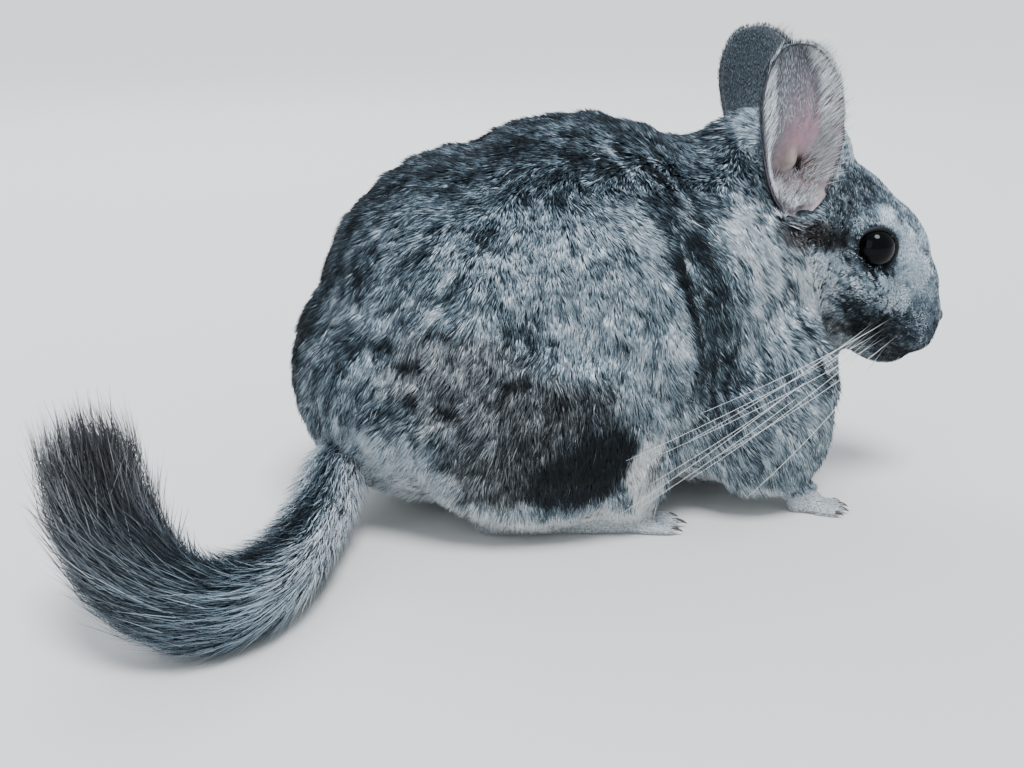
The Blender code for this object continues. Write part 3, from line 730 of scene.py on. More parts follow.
def soft_marks(points, marks, level, warm):
    """Lays each oval mark over the level and the warmth so far; one of full strength has a cleaner edge."""
    points = folded(points, 1)
    for centre, radii, mark_level, mark_warm, strength in marks:
        edge = CLEAN_EDGE if strength == 1 else SOFT_EDGE
        share = fade(*edge, oval_share(points, centre, radii)) * strength
        level, warm = mix(level, mark_level, share), mix(warm, mark_warm, share)
    return level, warm


# Where the haunch's fold lies against the shoulder: height, and how far forward
FOLD_HEIGHTS, FOLD_FORWARD = (15, 27, 40, 72, 98, 112, 128), (16, 23, 38, 36, 27, 20, 8)

# The ways that the streaks of haunch, side and shoulder run, and the waves and rows of the coat
STREAK_WAYS = ((0.70, 0.0, 0.71), (0.0, 0.0, 1.0), (-0.35, 0.0, 0.94))
WAVE_WAY, ROW_WAY = (unit(np.array((1.0, 0.0, -fall))) for fall in (0.6, 0.62))


def streaks(points, size, seed):
    """Noise drawn out along the lie of the trunk's coat."""
    drawn = (drawn_out(points, np.array(way), 0.66) for way in STREAK_WAYS)
    haunch, side, shoulder = (noise(moved, size, seed) for moved in drawn)
    front = smooth(-45, 0, points[:, 0]) + smooth(0, 35, points[:, 0])
    return mix(mix(haunch, side, np.clip(front, 0, 1)), shoulder, np.clip(front - 1, 0, 1))


def crests(points):
    """Soft waves of the plush coat, 1 on their tops and -1 in the clefts between them."""
    drawn = drawn_out(points, WAVE_WAY, 0.35)
    return np.clip(noise(drawn, 6.2, 22) + 0.5 * noise(drawn, 3.1, 23), -1, 1)


def puffs(points):
    """1 on the puffs of the haunch's coat, painted bright as a highlight, and 1 in the clefts above them,
    painted dark as shade.
    """
    x, _, z = points.T
    haunch = smooth(-84, -66, x) * fade(-30, 10, x) * smooth(36, 52, z) * fade(96, 112, z)
    drawn = drawn_out(points, WAVE_WAY, 0.2)
    above = np.array((-0.6, 0.0, 3.4))
    return [smooth(0.35, 0.8, noise(drawn - move, 5.6, 42)) * haunch for move in (0, above)]


def flank_rows(points):
    """1 in the narrow partings that run forward and down across the flank, where the coat lies lower and is
    painted dark as shade.
    """
    lines = fade(0.04, 0.36, np.abs(noise(drawn_out(points, ROW_WAY, 0.72), 4.6, 43)))
    return lines * smooth(-0.5, 0.3, noise(points, 9, 44))


def past_fold(points):
    """How far in front of the haunch's fold a point lies, and how surely it is on the side."""
    x, y, z = points.T
    past = x - np.interp(z, FOLD_HEIGHTS, FOLD_FORWARD)
    return past, smooth(8, 24, np.abs(y)) * smooth(14, 28, z)


def tone_range(level):
    """How far random tones may move a level: little near black and white."""
    return 0.25 + 3.0 * level * (1 - level)


def shoulder_bands(points, level):
    """The bright edge of the haunch's fold, and painted shade in front of it: a dark band streaked along the
    hair.
    """
    _, y, z = points.T
    past, on_side = past_fold(points)
    edge = smooth(-16, -8, past) * fade(-3, 0, past) * on_side * fade(104, 118, z) * smooth(33, 42, z)
    level = mix(level, mix(0.56, 0.70, smooth(50, 70, z)), edge * 0.75)
    # Painted shade behind the shoulder, in front of the haunch's fold, streaked along the hair
    strands = noise(np.stack([past, y * 0.3, z * 0.16], axis=1), 2.3, 5)
    far = mix(1.7, 1.0, smooth(50, 75, z))
    shoulder = smooth(-1.5, 1.5, past) * fade(15 * far, 24 * far, past + 3 * noise(points, 12, 24)) * on_side
    dark = mix(0.20, 0.34, smooth(8, 18, past)) + 0.22 * strands
    return mix(level, mix(dark + 0.12, dark, smooth(35, 75, z)), shoulder * 0.95)


def broken_up(points, level, warm, top):
    """The level with the trunk's flecks, waves, partings, puffs and shoulder streaks. Wave tops and puffs are
    painted lighter as highlights, and clefts, partings and the band before the shoulder carry painted shade.
    """
    x, _, z = points.T
    calm = tone_range(level) * (1 - 0.35 * smooth(0.15, 0.4, warm))
    fleck = smooth(0.2, 0.7, streaks(points, 1.9, 13)) - 0.9 * smooth(0.25, 0.75, streaks(points, 2.1, 14))
    plush = fade(25, 45, x) * smooth(24, 40, z)
    wave = crests(points)
    # Painted light and shade: the plush coat's wave tops are painted lighter and the clefts between them
    # darker
    level = level + calm * (0.03 * noise(points, 15, 6) + 0.05 * streaks(points, 6, 10) + 0.20 * fleck
                            + plush * (0.07 * wave - 0.08 * smooth(0.25, 0.9, -wave)))
    rows = flank_rows(points)
    # Painted shade in the flank's partings, and painted light on the coat between them
    level = level + (0.10 - 0.30 * rows) * smooth(-62, -40, x) * plush * smooth(54, 70, z) * (1 - top)
    # Painted highlight on the haunch's puffs, and painted shade in the clefts above them
    puff_highlight, cleft_shade = puffs(points)
    level = level + (0.30 * puff_highlight - 0.30 * cleft_shade) * plush
    gaps = smooth(0.3, 0.7, streaks(points, 2.4, 41))
    return level - 0.42 * gaps * smooth(0.55, 0.72, level) * smooth(30, 45, x)


def markings(points, normals, feet):
    """Lightness and warmth of the coat at each point, with painted shade in its folds, creases, clefts and
    partings and painted light on its crests and puffs.
    """
    x, y, z = points.T
    top = smooth(0.1, 0.75, normals[:, 2])
    level = mix(0.47, 0.25, top)
    level = mix(level, 0.92, smooth(0.35, 0.8, -normals[:, 2]) * fade(20, 34, z))
    level, warm = soft_marks(wobbled(points, 7, 1, 2.0), TRUNK_MARKS, level, 0.04)
    level = mix(level, 0.20, smooth(0.62, 0.9, normals[:, 2]) * fade(28, 46, x) * smooth(60, 80, z) * 0.8)
    spine = fade(12, 24, np.abs(y)) * smooth(36, 66, -x) * smooth(30, 45, z)
    level = mix(level, 0.10, spine * 0.85)
    level = broken_up(points, shoulder_bands(points, level), warm, top)
    head_level, head_warm = head_markings(to_head(points))
    head = smooth(-9.5, -4, past_neck(points))
    level, warm = mix(level, head_level, head), mix(warm, head_warm, head)
    # Painted shade in the crease where the cheek meets the neck
    level = level - 0.42 * jaw_fold(points) * (0.6 + 0.4 * noise(points, 4, 33))
    return np.clip(mix(level, 0.88, feet), 0, 1), mix(warm, 0.25, feet)


def jaw_fold(points):
    """1 in the crease where the cheek meets the neck, where the coat lies lower and carries painted shade."""
    ahead = past_neck(points) + 0.8 * noise(points, 5, 31)
    crease = np.exp(-((ahead + 8.3) / 1.5) ** 2)
    return crease * smooth(22, 28, np.abs(points[:, 1])) * fade(98, 104, points[:, 2])


def head_markings(local):
    """Lightness and warmth on the head, from places in its own frame."""
    level, warm = soft_marks(wobbled(local, 4, 7, 0.8), HEAD_MARKS, 0.58, 0.08)
    crown = fade(2.5, 6, np.abs(local[:, 1])) * smooth(-12, 2, local[:, 2])
    level = mix(level, 0.26, crown * 0.6)
    calm = 0.3 + 2.8 * np.clip(level * (1 - level), 0, 1)
    ticks = smooth(0.3, 0.8, noise(local * (0.35, 1.0, 1.0), 1.6, 18))
    specks = 0.15 * noise(local * (0.5, 1.0, 1.0), 1.1, 15) + 0.05 * noise(local, 5, 17) - 0.16 * ticks
    # Painted shade in the fine wrinkles of the cheek
    return level - 0.75 * creases(local) + calm * specks, warm


def creases(local):
    """1 in the fine wrinkles of the cheek, which run back from the eye, 0 between them. The coat lies lower in
    them and they carry painted shade.
    """
    drawn = local * (0.40, 1.0, 1.0) + local[:, 2:3] * (0.25, 0.0, 0.0)
    lines = fade(0.04, 0.34, np.abs(noise(drawn, 2.4, 16)))
    return lines * fade(0.7, 1.1, oval_share(folded(local, 1), (-4, 27, -10), (31, 20, 17)))


# The lie of the coat

def coat_flow(points, normals, feet):
    """The way the hair lies at each point, along the skin."""
    x, y, z = points.T
    side = np.sign(y) * smooth(0, 20, np.abs(y))
    tilt = np.radians(mix(-52, 0, smooth(-75, 0, x)) + mix(0, 26, smooth(0, 45, x)))
    tilt = tilt + np.radians(22) * smooth(86, 112, z) * smooth(-50, 0, x) * fade(25, 50, x)
    flow = np.stack([np.sin(tilt), side * 0.2, -np.cos(tilt)], axis=1)
    back = smooth(0.55, 0.95, normals[:, 2]) * smooth(60, 80, z)
    flow = mix(flow, np.stack([-np.ones_like(x), side * 0.35, np.zeros_like(x)], axis=1), back[:, None])
    rump = smooth(-66, -80, x)
    flow = mix(flow, np.array((-0.25, 0.0, -1.0)), rump[:, None])
    local = to_head(points)
    head_flow = np.stack([-np.ones_like(x), np.sign(local[:, 1]) * 0.15,
                          mix(-0.35, 0.3, smooth(-12, 8, local[:, 2]))], axis=1) @ HEAD_TURN.T
    flow = mix(unit(flow), unit(head_flow), head_share(points)[:, None])
    flow = mix(flow, np.array((1.0, 0.0, -0.25)), feet[:, None])
    turn = 0.26 * noise(points, 12, 11)[:, None] + 0.34 * noise(points, 4, 12)[:, None]
    flow = flow + np.cross(normals, flow) * turn
    return unit(flow - normals * dot(flow, normals)[:, None])


# Tufts

HALF_PATCH = 0.0015  # of the OFBake map
MOST_TRIANGLES = 190000  # of one coat piece


def scatter(skin, values, density):
    """Random roots on the skin, so many a square millimetre at each point, and the values there."""
    points, normals = read_points(skin.data)
    corners, loops = read_triangles(skin.data)
    a, b, c = (points[corners[:, i]] for i in range(3))
    area = np.linalg.norm(np.cross(b - a, c - a), axis=1) / 2
    expected = area * density[corners].mean(axis=1)
    count = np.floor(expected + dice.random(len(expected))).astype(int)
    face = np.repeat(np.arange(len(corners)), count)
    r1, r2 = np.sqrt(dice.random(len(face))), dice.random(len(face))
    weights = np.stack([1 - r1, r1 * (1 - r2), r1 * r2], axis=1)
    uv = read(skin.data.uv_layers["OFBake"].uv, "vector", 2).astype(float)
    values = {"root": points, "normal": normals, **values}
    picked = {name: value[corners[face]] for name, value in values.items()}
    picked["uv"] = uv[loops[face]]
    found = {name: np.einsum("nk,nki->ni", weights, value) for name, value in picked.items()}
    found["normal"] = unit(found["normal"])
    return found


SLIVER = ((0, 1, 2), (3, 2, 1), (0, 2, 3), (0, 3, 1))
SPINDLE = ((0, 1, 2), (0, 2, 3), (0, 3, 1), (4, 2, 1), (4, 3, 2), (4, 1, 3))
TUFT_KEYS = ("root", "middle", "tip", "normal", "width", "uv", "root_colour", "ring_colour", "tip_colour")


def build_tufts(name, tufts, material, shape=SLIVER, nodes=()):
    """Closed tufts in pieces: root, tip and two corners between them, and a spindle has a ridge too."""
    order = np.argsort(tufts["root"][:, 0], kind="stable")
    ring = [[1, 0], [-1, 0], [0, 0.8]][:len(shape) // 2]
    patch = np.array(((-1, 0), *((y, x) for x, y in ring), (1, 0))) * HALF_PATCH
    pattern = np.array(shape)
    pieces = np.array_split(order, max(1, math.ceil(len(order) * len(pattern) / MOST_TRIANGLES)))
    for number, part in enumerate(pieces):
        root, middle, tip, normal, width, uv, low, mid, top = (tufts[key][part] for key in TUFT_KEYS)
        axis = unit(tip - root)
        side = unit(np.cross(axis, normal))
        out = np.cross(side, axis)
        half = width[:, None] / 2
        rows = np.stack([root, *(middle + (side * x + out * y) * half for x, y in ring), tip], axis=1)
        rows[:, :, 2] = np.maximum(rows[:, :, 2], LOWEST_HAIR)
        faces = (np.arange(len(part))[:, None, None] * rows.shape[1] + pattern[None]).reshape(-1, 3)
        obj = new_piece(f"{name}_{number + 1}", rows.reshape(-1, 3), faces)
        colour_points(obj, np.stack([low, *[mid] * len(ring), top], axis=1).reshape(-1, 3))
        layer = obj.data.uv_layers.new(name="OFBake")
        corner_uv = (uv[:, None, :] + patch[None]).reshape(-1, 2)[faces.ravel()]
        layer.uv.foreach_set("vector", corner_uv.astype(np.float32).ravel())
        finish_piece(obj, material, "coat", *(nodes if number == 0 else ()))


def colour_tufts(tufts, warm, root, ring, tip):
    """Hair colours for the lightness of each tuft's root, middle and tip."""
    for end, level in (("root", root), ("ring", ring), ("tip", tip)):
        tufts[end + "_colour"] = hair_colour(np.clip(level, 0, 1), warm)


def nearest_leaders(root, area, seed):
    """The closest of some scattered leaders to each root, one leader for each so many roots."""
    leaders = np.random.default_rng(seed).permutation(len(root))[:max(1, int(len(root) / area))]
    tree = KDTree(len(leaders))
    for i, leader in enumerate(leaders):
        tree.insert(root[leader].tolist(), i)
    tree.balance()
    return leaders, np.array([tree.find(r.tolist())[1] for r in root])


def lay_coat(name, base, outline, feet, density, look, material):
    """One coat over the skin where density isn't 0, in tufts that lie along it."""
    found = scatter(base, {"outline": outline, "feet": feet[:, None]}, density)
    root, normal, feet = found["root"], found["normal"], found["feet"][:, 0]
    count = len(root)
    depth = np.linalg.norm(found["outline"] - root, axis=1)
    flow = coat_flow(root, normal, feet)
    length = np.maximum(depth * look["stretch"], look["shortest"]) * dice.uniform(0.7, 1.3, count)
    wave = (crests(root) + 1.2 * puffs(root)[0] - 1.2 * flank_rows(root)) * (1 - head_share(root))
    rise = depth * (0.84 + look["lumps"] * wave) * dice.uniform(0.8, 1.12, count)
    rise = rise * (1 - 0.6 * creases(to_head(root)) * head_share(root)) * (1 - 0.75 * jaw_fold(root))
    sway = np.cross(normal, flow) * dice.normal(0, look["sway"], count)[:, None]
    tip = root + (flow + sway) * length[:, None] + normal * rise[:, None]
    leaders, nearest = nearest_leaders(root, look["tufts_a_clump"], 5)
    pull = np.random.default_rng(7).uniform(0.2, 1.0, len(leaders))[nearest] * look["pull"]
    tip = mix(tip, tip[leaders[nearest]], pull[:, None])
    level, warm = markings(root + flow * (length * 0.7)[:, None] + normal * depth[:, None], normal, feet)
    clump_tone = np.random.default_rng(6).normal(0, 1, len(leaders))[nearest]
    tone = look["clump_tone"] * clump_tone + look["hair_tone"] * dice.normal(0, 1, count)
    level = level + tone_range(level) * tone
    found["tip"] = tip
    found["middle"] = mix(root, tip, 0.5) + normal * (0.09 * depth)[:, None]
    found["width"] = dice.uniform(*look["width"], count)
    colour_tufts(found, warm, level * 0.55, level + 0.10, level - 0.06)
    build_tufts(name, found, material)


PLUSH = {"stretch": 1.4, "shortest": 2.6, "lumps": 0.26, "tufts_a_clump": 8, "pull": 0.55, "sway": 0.18,
         "clump_tone": 0.07, "hair_tone": 0.17, "width": (0.2, 0.4)}
SHORT = {"stretch": 0.9, "shortest": 1.5, "lumps": 0.1, "tufts_a_clump": 7, "pull": 0.35, "sway": 0.14,
         "clump_tone": 0.06, "hair_tone": 0.14, "width": (0.15, 0.27)}
GUARD = {"stretch": 2.2, "shortest": 3, "lumps": 0.2, "tufts_a_clump": 3, "pull": 0.0, "sway": 0.25,
         "clump_tone": 0.0, "hair_tone": 0.35, "width": (0.1, 0.15)}


# Tufts a square millimetre
TRUNK_TUFTS, FACE_TUFTS, MUZZLE_TUFTS, FOOT_TUFTS, GUARD_TUFTS = 3.6, 5.6, 8.5, 5.5, 0.12


def lay_coats(base, outline, feet, material):
    """Plush fur on the trunk, short fur on head and feet, and single longer hairs over the plush."""
    points, normals = read_points(base.data)
    head, local = head_share(points), to_head(points)
    eyes = np.min([np.linalg.norm(points - eye_place(side), axis=1) for side in SIDES], axis=0)
    under = smooth(0.4, 0.9, -normals[:, 2])
    trunk = TRUNK_TUFTS * (1 - head) * (1 - feet) * (1 - 0.6 * under)
    lay_coat("coat_trunk", base, outline, feet, np.where(trunk < 0.3, 0, trunk), PLUSH, material)
    face = mix(FACE_TUFTS, MUZZLE_TUFTS, smooth(5, 25, local[:, 0])) * head * (1 - 0.3 * under)
    face = np.where(eyes < EYE_RADIUS + 0.2, 0, face)
    face = np.where(feet > 0.5, FOOT_TUFTS, face)
    lay_coat("coat_face", base, outline, feet, np.where(face < 0.4, 0, face), SHORT, material)
    lay_coat("coat_guard", base, outline, feet, np.where(trunk > 2, GUARD_TUFTS, 0), GUARD, material)


TAIL_TUFTS = 31000


def tail_place(line, place, radius, turn):
    """Points round the bone line by steps along it, and the ways out there. Past its end it runs straight."""
    ways, last = unit(np.gradient(line, axis=0)), len(line) - 1
    inside = np.clip(place, 0, last)
    low = np.minimum(inside.astype(int), last - 1)
    share = (inside - low)[:, None]
    way = unit(mix(ways[low], ways[low + 1], share))
    beyond = (place - inside) * np.linalg.norm(line[1] - line[0])
    centre = mix(line[low], line[low + 1], share) + way * beyond[:, None]
    across = unit(np.cross(np.array((0.0, 0.0, 1.0)), way))
    out = across * np.cos(turn)[:, None] + np.cross(way, across) * np.sin(turn)[:, None]
    return centre + out * radius[:, None], out


def tail_tones(start, angle):
    """Warmth, and lightness of root, middle and tip: dark above, white at the sides, blackish at the end."""
    count = len(start)
    turned = np.abs((angle - math.pi / 2 + math.pi) % (2 * math.pi) - math.pi)
    dorsal = fade(0.25, 0.75, turned + 0.2 * dice.normal(0, 1, count))
    level = mix(0.84, 0.18, dorsal * mix(0.45, 1.0, smooth(0.05, 0.4, start)))
    level = mix(level, 0.40, smooth(1.9, 2.7, turned) * 0.6)
    tip = smooth(0.42, 0.72, start)
    level = mix(level, mix(0.30, 0.10, dorsal), tip * 0.95)
    dark = dice.random(count) < mix(0.24, 0.46, smooth(0.45, 0.9, start))
    level = np.where(dark, 0.07, level) + dice.normal(0, 0.10, count)
    return mix(0.05, 0.55, smooth(0.6, 0.95, start)), 0.30, level + 0.02, level + mix(0.0, 0.12, tip)


def lay_tail(line, reach, material):
    """Stiff hair that lies along the tail and opens out towards its tip."""
    count, steps, spacing = TAIL_TUFTS, len(line) - 1, np.linalg.norm(line[1] - line[0])
    start = dice.random(count) ** 0.92
    angle = dice.uniform(0, 2 * math.pi, count)
    length = mix(15.0, 26.0, smooth(0.1, 0.8, start)) * dice.uniform(0.7, 1.2, count)
    lowest = mix(0.3, 0.0, smooth(0.75, 0.95, start))
    height = dice.uniform(lowest, 1.05) * mix(1.0, dice.uniform(0.8, 1.35, count), smooth(0.5, 0.9, start))
    drift = dice.normal(0, 1, count) * mix(0.13, 0.32, smooth(0.4, 0.9, start))
    shares = np.linspace(0, 1, len(reach))
    full = np.interp(start, shares, reach)
    place, far = start * steps, length / spacing
    past = smooth(0, 26, (place - steps) * spacing + length)
    tip_reach = np.interp(np.clip(start + far / steps, 0, 1), shares, reach) * mix(1.0, 0.8, past)
    root, out = tail_place(line, place, full * TAIL_CORE * 0.9, angle)
    middle_reach = full * mix(TAIL_CORE, 1.0, 0.62 * height)
    middle, _ = tail_place(line, place + 0.5 * far, middle_reach, angle + drift / 2)
    tip, _ = tail_place(line, place + far, tip_reach * height, angle + drift)
    tufts = {"root": root, "normal": out, "middle": middle, "width": dice.uniform(0.18, 0.4, count)}
    leaders, nearest = nearest_leaders(root, 16, 8)
    tufts["tip"] = mix(tip, tip[leaders[nearest]], dice.uniform(0.0, 0.5, count)[:, None])
    colour_tufts(tufts, *tail_tones(start, angle))
    tufts["uv"] = np.stack([0.02 + 0.96 * start, angle / (2 * math.pi) * 0.96 + 0.02], axis=1)
    build_tufts("coat_tail", tufts, material, SPINDLE, nodes=("tail_root", "tail_middle", "tail_tip"))


# (kind, tufts an ear, width, length, shade)
EAR_HAIR = (("front", 850, 0.12, (5.5, 10.0), (0.85, 1.0)), ("behind", 480, 0.10, (3.5, 6.5), (0.75, 1.0)),
            ("down", 2400, 0.08, (1.4, 2.8), (0.5, 0.8)), ("foot", 800, 0.12, (3.0, 6.0), (0.8, 1.0)),
            ("rim", 1500, 0.12, (1.2, 2.4), (0.03, 0.35)), ("back", 5200, 0.16, (1.2, 2.0), (0.22, 0.42)))


def ear_wall(level, over):
    """How steeply the cup rises towards its rims."""
    half, depth, _ = ear_section(level)
    return depth * 2.2 * abs(over) ** 1.2 / half


def ear_hair_tuft(kind, side, across, up, faces):
    """(level, over, lift, lean) of one tuft of the ear."""
    front = -side
    if kind == "front":
        level, over = dice.uniform(0.10, 0.93), front * dice.uniform(0.38, 0.93)
        tilt = dice.uniform(0.25, 0.9)
        rise = tilt * ear_wall(level, over) + dice.uniform(0.1, 0.4)
        return level, over, 0.1, across * front * tilt + up * 0.75 + faces * rise
    if kind == "behind":
        level, over = dice.uniform(0.12, 0.95), -front * dice.uniform(0.62, 0.97)
        tilt = dice.uniform(0.3, 0.8)
        rise = dice.uniform(0.05, 0.2) - 0.6 * tilt * ear_wall(level, over)
        return level, over, 0.1, across * front * tilt + up * 0.8 + faces * rise
    if kind == "down":
        over = dice.uniform(-0.92, 0.92)
        return dice.uniform(0.3, 0.97), over, 0.05, -across * over * 0.5 + up * 0.85 + faces * 0.15
    if kind == "foot":
        over = dice.uniform(-0.8, 0.8)
        level = 0.02 + 0.17 * dice.random() ** 1.7
        lean = up * dice.uniform(0.5, 1.0) + across * dice.normal(0, 0.35) + faces * dice.uniform(0.3, 0.8)
        return level, over, 0.1, lean
    if kind == "rim":
        edge = dice.choice((-1, 1))
        level, over = dice.uniform(0.08, 0.99), edge * dice.uniform(0.94, 1.0)
        return level, over, 0.3, across * edge * 0.15 + up * 0.9 + faces * dice.uniform(-0.2, 0.35)
    over = dice.uniform(-0.99, 0.99)
    return dice.uniform(0.05, 0.99), over, -1.25, up * 0.9 + across * over * 0.2 - faces * 0.12


def lay_ear_hair(material):
    """Fine hair of the ears: white from both rims, down inside, a tuft at the foot and velvet behind."""
    rows = []
    for side in SIDES:
        up, across, faces = ear_frame(side)[2:]
        for kind, count, width, reach, shade in EAR_HAIR:
            outward = -faces if kind == "back" else faces
            for _ in range(count):
                level, over, lift, lean = ear_hair_tuft(kind, side, across, up, faces)
                root = ear_place(side, level, over, lift)
                tip = root + unit(lean) * dice.uniform(*reach)
                thick = width * dice.uniform(0.7, 1.3)
                rows.append((*root, *tip, *outward, thick, dice.uniform(*shade), level, over))
    rows = np.array(rows)
    root, tip, out = rows[:, :3], rows[:, 3:6], rows[:, 6:9]
    tufts = {"root": root, "tip": tip, "normal": out, "width": rows[:, 9],
             "middle": mix(root, tip, 0.5) + out * 0.12, "uv": 0.05 + 0.45 * (rows[:, 11:13] + 1)}
    shades = rows[:, 10]
    colour_tufts(tufts, 0.25, shades - 0.1, shades, shades + 0.05)
    build_tufts("ear_hair", tufts, material)


# Eyes, whiskers and claws

def make_eye(side, material):
    bpy.ops.object.select_all(action="DESELECT")
    bpy.ops.mesh.primitive_uv_sphere_add(segments=64, ring_count=40, radius=EYE_RADIUS * MM,
                                         location=placed(eye_place(side)))
    eye = bpy.context.object
    eye.name = "eyeball_" + SIDE_NAMES[side]
    bpy.ops.object.transform_apply(location=True, rotation=True, scale=True)
    eye.data.shade_smooth()
    finish_piece(eye, material, "eye", "eye_" + SIDE_NAMES[side])


def eye_material():
    """Wet black eye: an almost black iris under a clear glossy cornea."""
    return new_material("wet_eye", "#020304", Roughness=0.05, Specular_IOR_Level=0.1)[0]


def whisker_material():
    """Whiskers: stiff, smooth keratin, with the colour along each one in its points."""
    material, tree, shader = new_material("whisker_keratin", Roughness=0.35)
    tree.links.new(coat_colour(tree), shader.inputs["Base Color"])
    return material


def nail_material():
    """Nails: dark horn, a little paler in patches."""
    material, tree, shader = new_material("nail_keratin", Roughness=0.4)
    place = add_node(tree, "ShaderNodeTexCoord").outputs["Object"]
    ramp = add_node(tree, "ShaderNodeValToRGB", Fac=add_noise(tree, place, 1.5))
    for stop, code in zip(ramp.color_ramp.elements, ("#1f1b1a", "#5c524c")):
        stop.color = (*linear(code), 1)
    tree.links.new(ramp.outputs["Color"], shader.inputs["Base Color"])
    return material


# Root of each whisker in the head's frame, and its end in the animal's frame, of the right side
WHISKERS = (
    ((20, -15.5, -12), (7, -66, 16)), ((23, -15, -13), (15.5, -67, 20)), ((26, -14, -12), (10, -70, 37)),
    ((21, -15.5, -15), (18, -68, 28)), ((24, -14.5, -16), (30.5, -68, 29)),
    ((28, -13, -15), (20.5, -70, 38.5)), ((19, -16, -14), (30, -70, 43)), ((30, -12, -13), (40.5, -66, 36)),
    ((27, -13.5, -18), (51, -60, 18)), ((24, -15, -10), (32, -72, 52)),
)


def make_whiskers(material):
    """Long tapered whiskers, dark near the pad and white further out."""
    steps, sides = 22, 5
    shares = np.linspace(0, 1, steps)[:, None]
    parts = []
    for side, (start, end) in itertools.product(SIDES, WHISKERS):
        root, end = from_head(mirrored(start, side)), mirrored(end, side)
        bow = mirrored((0.0, -0.8, 0.45), side) * np.linalg.norm(end - root) * 0.05
        bow = bow + unit(root - HEAD_AT) * 2.0
        line = root + (end - root) * shares + bow * (4 * shares * (1 - shares))
        parts.append(tube(line, np.linspace(0.11, 0.035, steps), sides))
    obj = new_piece("whiskers", *gathered(parts))
    pale = np.tile(np.repeat(smooth(0.1, 0.3, shares), sides, axis=0), (len(parts), 1))
    colour_points(obj, mix(linear("#15161a"), linear("#f2f2f0"), pale))
    finish_piece(obj, material, "pale_coat")


# Toes of each foot: (heel, toe, width, ((offset, reach, turn, radius) of each toe))
HIND_FOOT = ((-31, -35), (24, -38), 13.5,
             ((-0.70, 9, -9, 2.4), (-0.08, 11, 0, 2.6), (0.55, 9.5, 8, 2.4), (0.95, 3, 16, 1.8)))
FORE_PAW = ((76, -28), (88, -31), 10.5,
            ((-0.72, 5, -16, 1.9), (-0.24, 6.5, -5, 2.0), (0.24, 6.5, 5, 2.0), (0.72, 5, 16, 1.9)))


def make_claws(material):
    """A short curved nail at the end of each toe."""
    parts = []
    for side, (heel, toe, width, toes) in itertools.product(SIDES, (HIND_FOOT, FORE_PAW)):
        heel, toe = mirrored((*heel, 0), side), mirrored((*toe, 0), side)
        along = unit(toe - heel)
        across = np.cross((0, 0, 1), along)
        for offset, reach, turn, radius in toes:
            angle = math.radians(turn * -side)
            way = along * math.cos(angle) + across * math.sin(angle)
            start = toe + across * (offset * width / 2 * -side) - along * 3
            shares = np.linspace(0, 1, 7)
            reached = start + np.outer((reach + 3) * (0.86 + 0.36 * shares), way)
            height = radius * (1.0 + 0.35 * shares - 0.85 * shares ** 2)
            line = reached + np.outer(height, (0, 0, 1))
            parts.append(tube(line, radius * 0.36 * (1 - shares ** 1.6) + 0.04, 8))
    finish_piece(new_piece("claws", *gathered(parts)), material, "ear_skin")


# Stage

# (name, kind, place, size, power, colour)
LAMPS = (("key", "SUN", (0.1, -0.45, 1.2), 0.4, 4.4, "#f6f9ff"),
         ("fill", "AREA", (-0.9, -0.7, 0.6), 1.0, 5, "#e8f0ff"),
         ("back", "AREA", (-0.2, 0.9, 0.9), 0.8, 8, "#eef4ff"))
LAMPS_LOOK_AT = Vector((0, 0, 0.06))


def make_stage():
    """The floor, three lamps and the studio's even light."""
    bpy.ops.object.select_all(action="DESELECT")
    bpy.ops.mesh.primitive_plane_add(size=60)
    floor = bpy.context.object
    floor.name = "floor"
    pale = new_material("pale_floor", "#d8d7d3", Roughness=0.9, Specular_IOR_Level=0.2)[0]
    floor.data.materials.append(pale)
    for name, kind, place, size, power, colour in LAMPS:
        light = bpy.data.lights.new(name, kind)
        setattr(light, "angle" if kind == "SUN" else "size", size)
        light.energy, light.color = power, linear(colour)
        lamp = new_object(name, light)
        lamp.location = place
        lamp.rotation_euler = (LAMPS_LOOK_AT - Vector(place)).to_track_quat("-Z", "Y").to_euler()
    world = bpy.data.worlds.new("studio")
    world.use_nodes = True
    background = world.node_tree.nodes["Background"].inputs
    background["Color"].default_value = (*linear("#dfe6ee"), 1)
    background["Strength"].default_value = 1.05
    bpy.context.scene.world = world


VIEW_AZIMUTH, VIEW_ELEVATION = math.radians(-7), math.radians(18)
VIEW_TARGET, VIEW_DISTANCE = np.array((-17.3, -6.0, 42.1)), 490.0


def make_camera():
    """The camera at the photograph's angle and distance."""
    flat = math.cos(VIEW_ELEVATION)
    back = Vector((math.sin(VIEW_AZIMUTH) * flat, -math.cos(VIEW_AZIMUTH) * flat, math.sin(VIEW_ELEVATION)))
    right = Vector((math.cos(VIEW_AZIMUTH), math.sin(VIEW_AZIMUTH), 0))
    camera = bpy.data.cameras.new("camera")
    camera.lens, camera.sensor_width, camera.clip_start = 50, 36, 0.01
    turned = Matrix((right, back.cross(right), back)).transposed().to_4x4()
    turned.translation = Vector(placed(VIEW_TARGET)) + back * (VIEW_DISTANCE * MM)
    holder = new_object("camera", camera)
    holder.matrix_world = turned
    bpy.context.scene.camera = holder


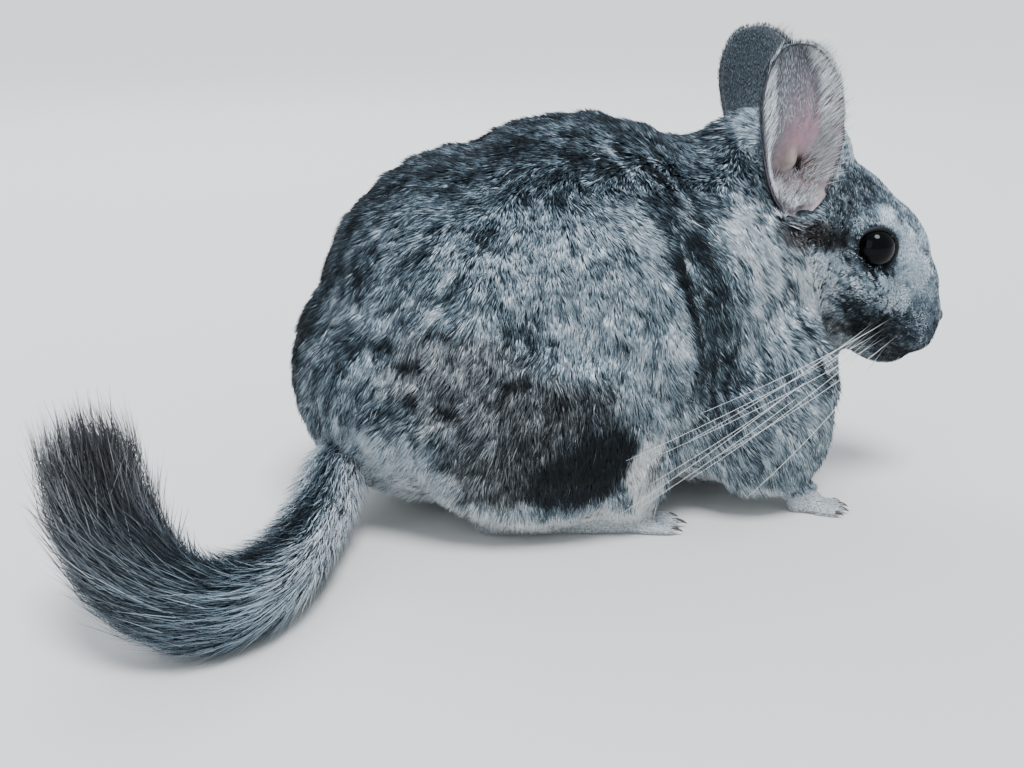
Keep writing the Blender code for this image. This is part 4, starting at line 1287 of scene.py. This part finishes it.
def colour_skin(skin):
    """The same markings on the skin as on the coat, with their painted light and shade, bare skin in the ears
    and round the eyes, and painted shade in the nostrils.
    """
    points, normals = read_points(skin.data)
    level, warm = markings(points, normals, foot_share(points))
    colours = hair_colour(level * 0.8, warm)
    past_rump = smooth(-60, -75, points[:, 0]) * smooth(-12, -22, points[:, 1])
    colours = mix(colours, hair_colour(0.3, 0.2), past_rump[:, None])
    for side in SIDES:
        level, over, lift = on_ear(points, side)
        on = smooth(-0.02, 0.02, level) * fade(1.0, 1.03, level) * fade(1.05, 1.15, np.abs(over))
        on = on * smooth(-2.6, -1.8, lift) * fade(7, 9, lift)
        colours = mix(colours, ear_tones(points, level, over, lift, side), on[:, None])
        away = points - eye_place(side)
        out = eye_axes(side)[0]
        flat = np.linalg.norm(away - np.outer(away @ out, out), axis=1)
        lid_tone = painted(linear("#060708"), "#1a1f23", smooth(7.0, 7.8, flat))
        colours = mix(colours, lid_tone, (fade(7.6, 8.4, flat) * smooth(0, 1, away @ out))[:, None])
    local = to_head(points)
    colours = painted(colours, "#4b4648", fade(0.95, 1.15, oval_share(local, NOSE_AT, (3.0, 4.1, 3.0))))
    # Painted shade in the nostrils' openings
    nostril_shade = fade(0.7, 1.3, oval_share(folded(local, -1), NOSTRIL_AT, (2.2, 1.0, 1.5)))
    colours = painted(colours, "#0c0a0a", nostril_shade)
    colour_points(skin, colours)


def ear_tones(points, level, over, lift, side):
    """Colours of the ear: mauve-grey inside, with each tone laid over the ones before it."""
    behind = over * side
    edge = np.maximum(smooth(0.9, 0.98, np.abs(over)), smooth(0.965, 0.99, level))
    tone = linear("#7b7279")
    for code, share in (
            ("#ab8492", ear_mound(level, behind, (0.45, -0.25), (0.22, 0.38))),  # pink middle
            ("#48474c", smooth(0.45, 0.95, level + 0.12 * behind) * 0.85),  # darker tip
            ("#c2b4b6", smooth(0.1, 0.8, -behind) * fade(0.3, 0.6, level) * 0.6),  # pale front
            ("#a99a94", ear_mound(level, behind, EAR_LOBE, (0.10, 0.3))),
            ("#80594a", np.clip(ear_mound(level, behind, (0.2, -0.6), (0.08, 0.2)) * 1.2, 0, 1)),  # rust bowl
            ("#120c0b", np.clip(ear_mound(level, behind, (0.235, -0.4), (0.05, 0.09)) * 1.7, 0, 1)),  # painted shade of the canal's deep opening
            ("#33373c", edge * mix(0.35, 0.85, smooth(0.3, 0.7, level))),  # dark rim
            ("#3f474d", fade(-0.75, -0.45, lift))):  # grey back
        tone = painted(tone, code, share)
    return tone * (1 + 0.12 * noise(points, 1.1, 30)[:, None])


def main():
    base, outline, feet = make_base()
    line = curve_through(TAIL_LINE, TAIL_POINTS)
    reach = np.interp(np.linspace(0, 1, TAIL_POINTS), np.linspace(0, 1, len(TAIL_REACH)), TAIL_REACH)
    skin = make_skin(base, line, reach)
    bpy.ops.object.select_all(action="DESELECT")
    base.select_set(True)
    bpy.context.view_layer.objects.active = base
    base.data.uv_layers.new(name="OFBake")
    bpy.ops.object.mode_set(mode="EDIT")
    bpy.ops.mesh.select_all(action="SELECT")
    bpy.ops.uv.smart_project(angle_limit=math.radians(66), island_margin=0.002)
    bpy.ops.object.mode_set(mode="OBJECT")
    hair = hair_material()
    lay_coats(base, outline, feet, hair)
    bpy.data.objects.remove(base)
    lay_tail(line, reach, hair)
    lay_ear_hair(hair)
    colour_skin(skin)
    skin.name = "skin"
    skin.data.shade_smooth()
    finish_piece(skin, skin_material(), "coat", *FLESH, *both("ear"))
    eye = eye_material()
    for side in SIDES:
        make_eye(side, eye)
    make_whiskers(whisker_material())
    make_claws(nail_material())
    make_stage()
    make_camera()


main()
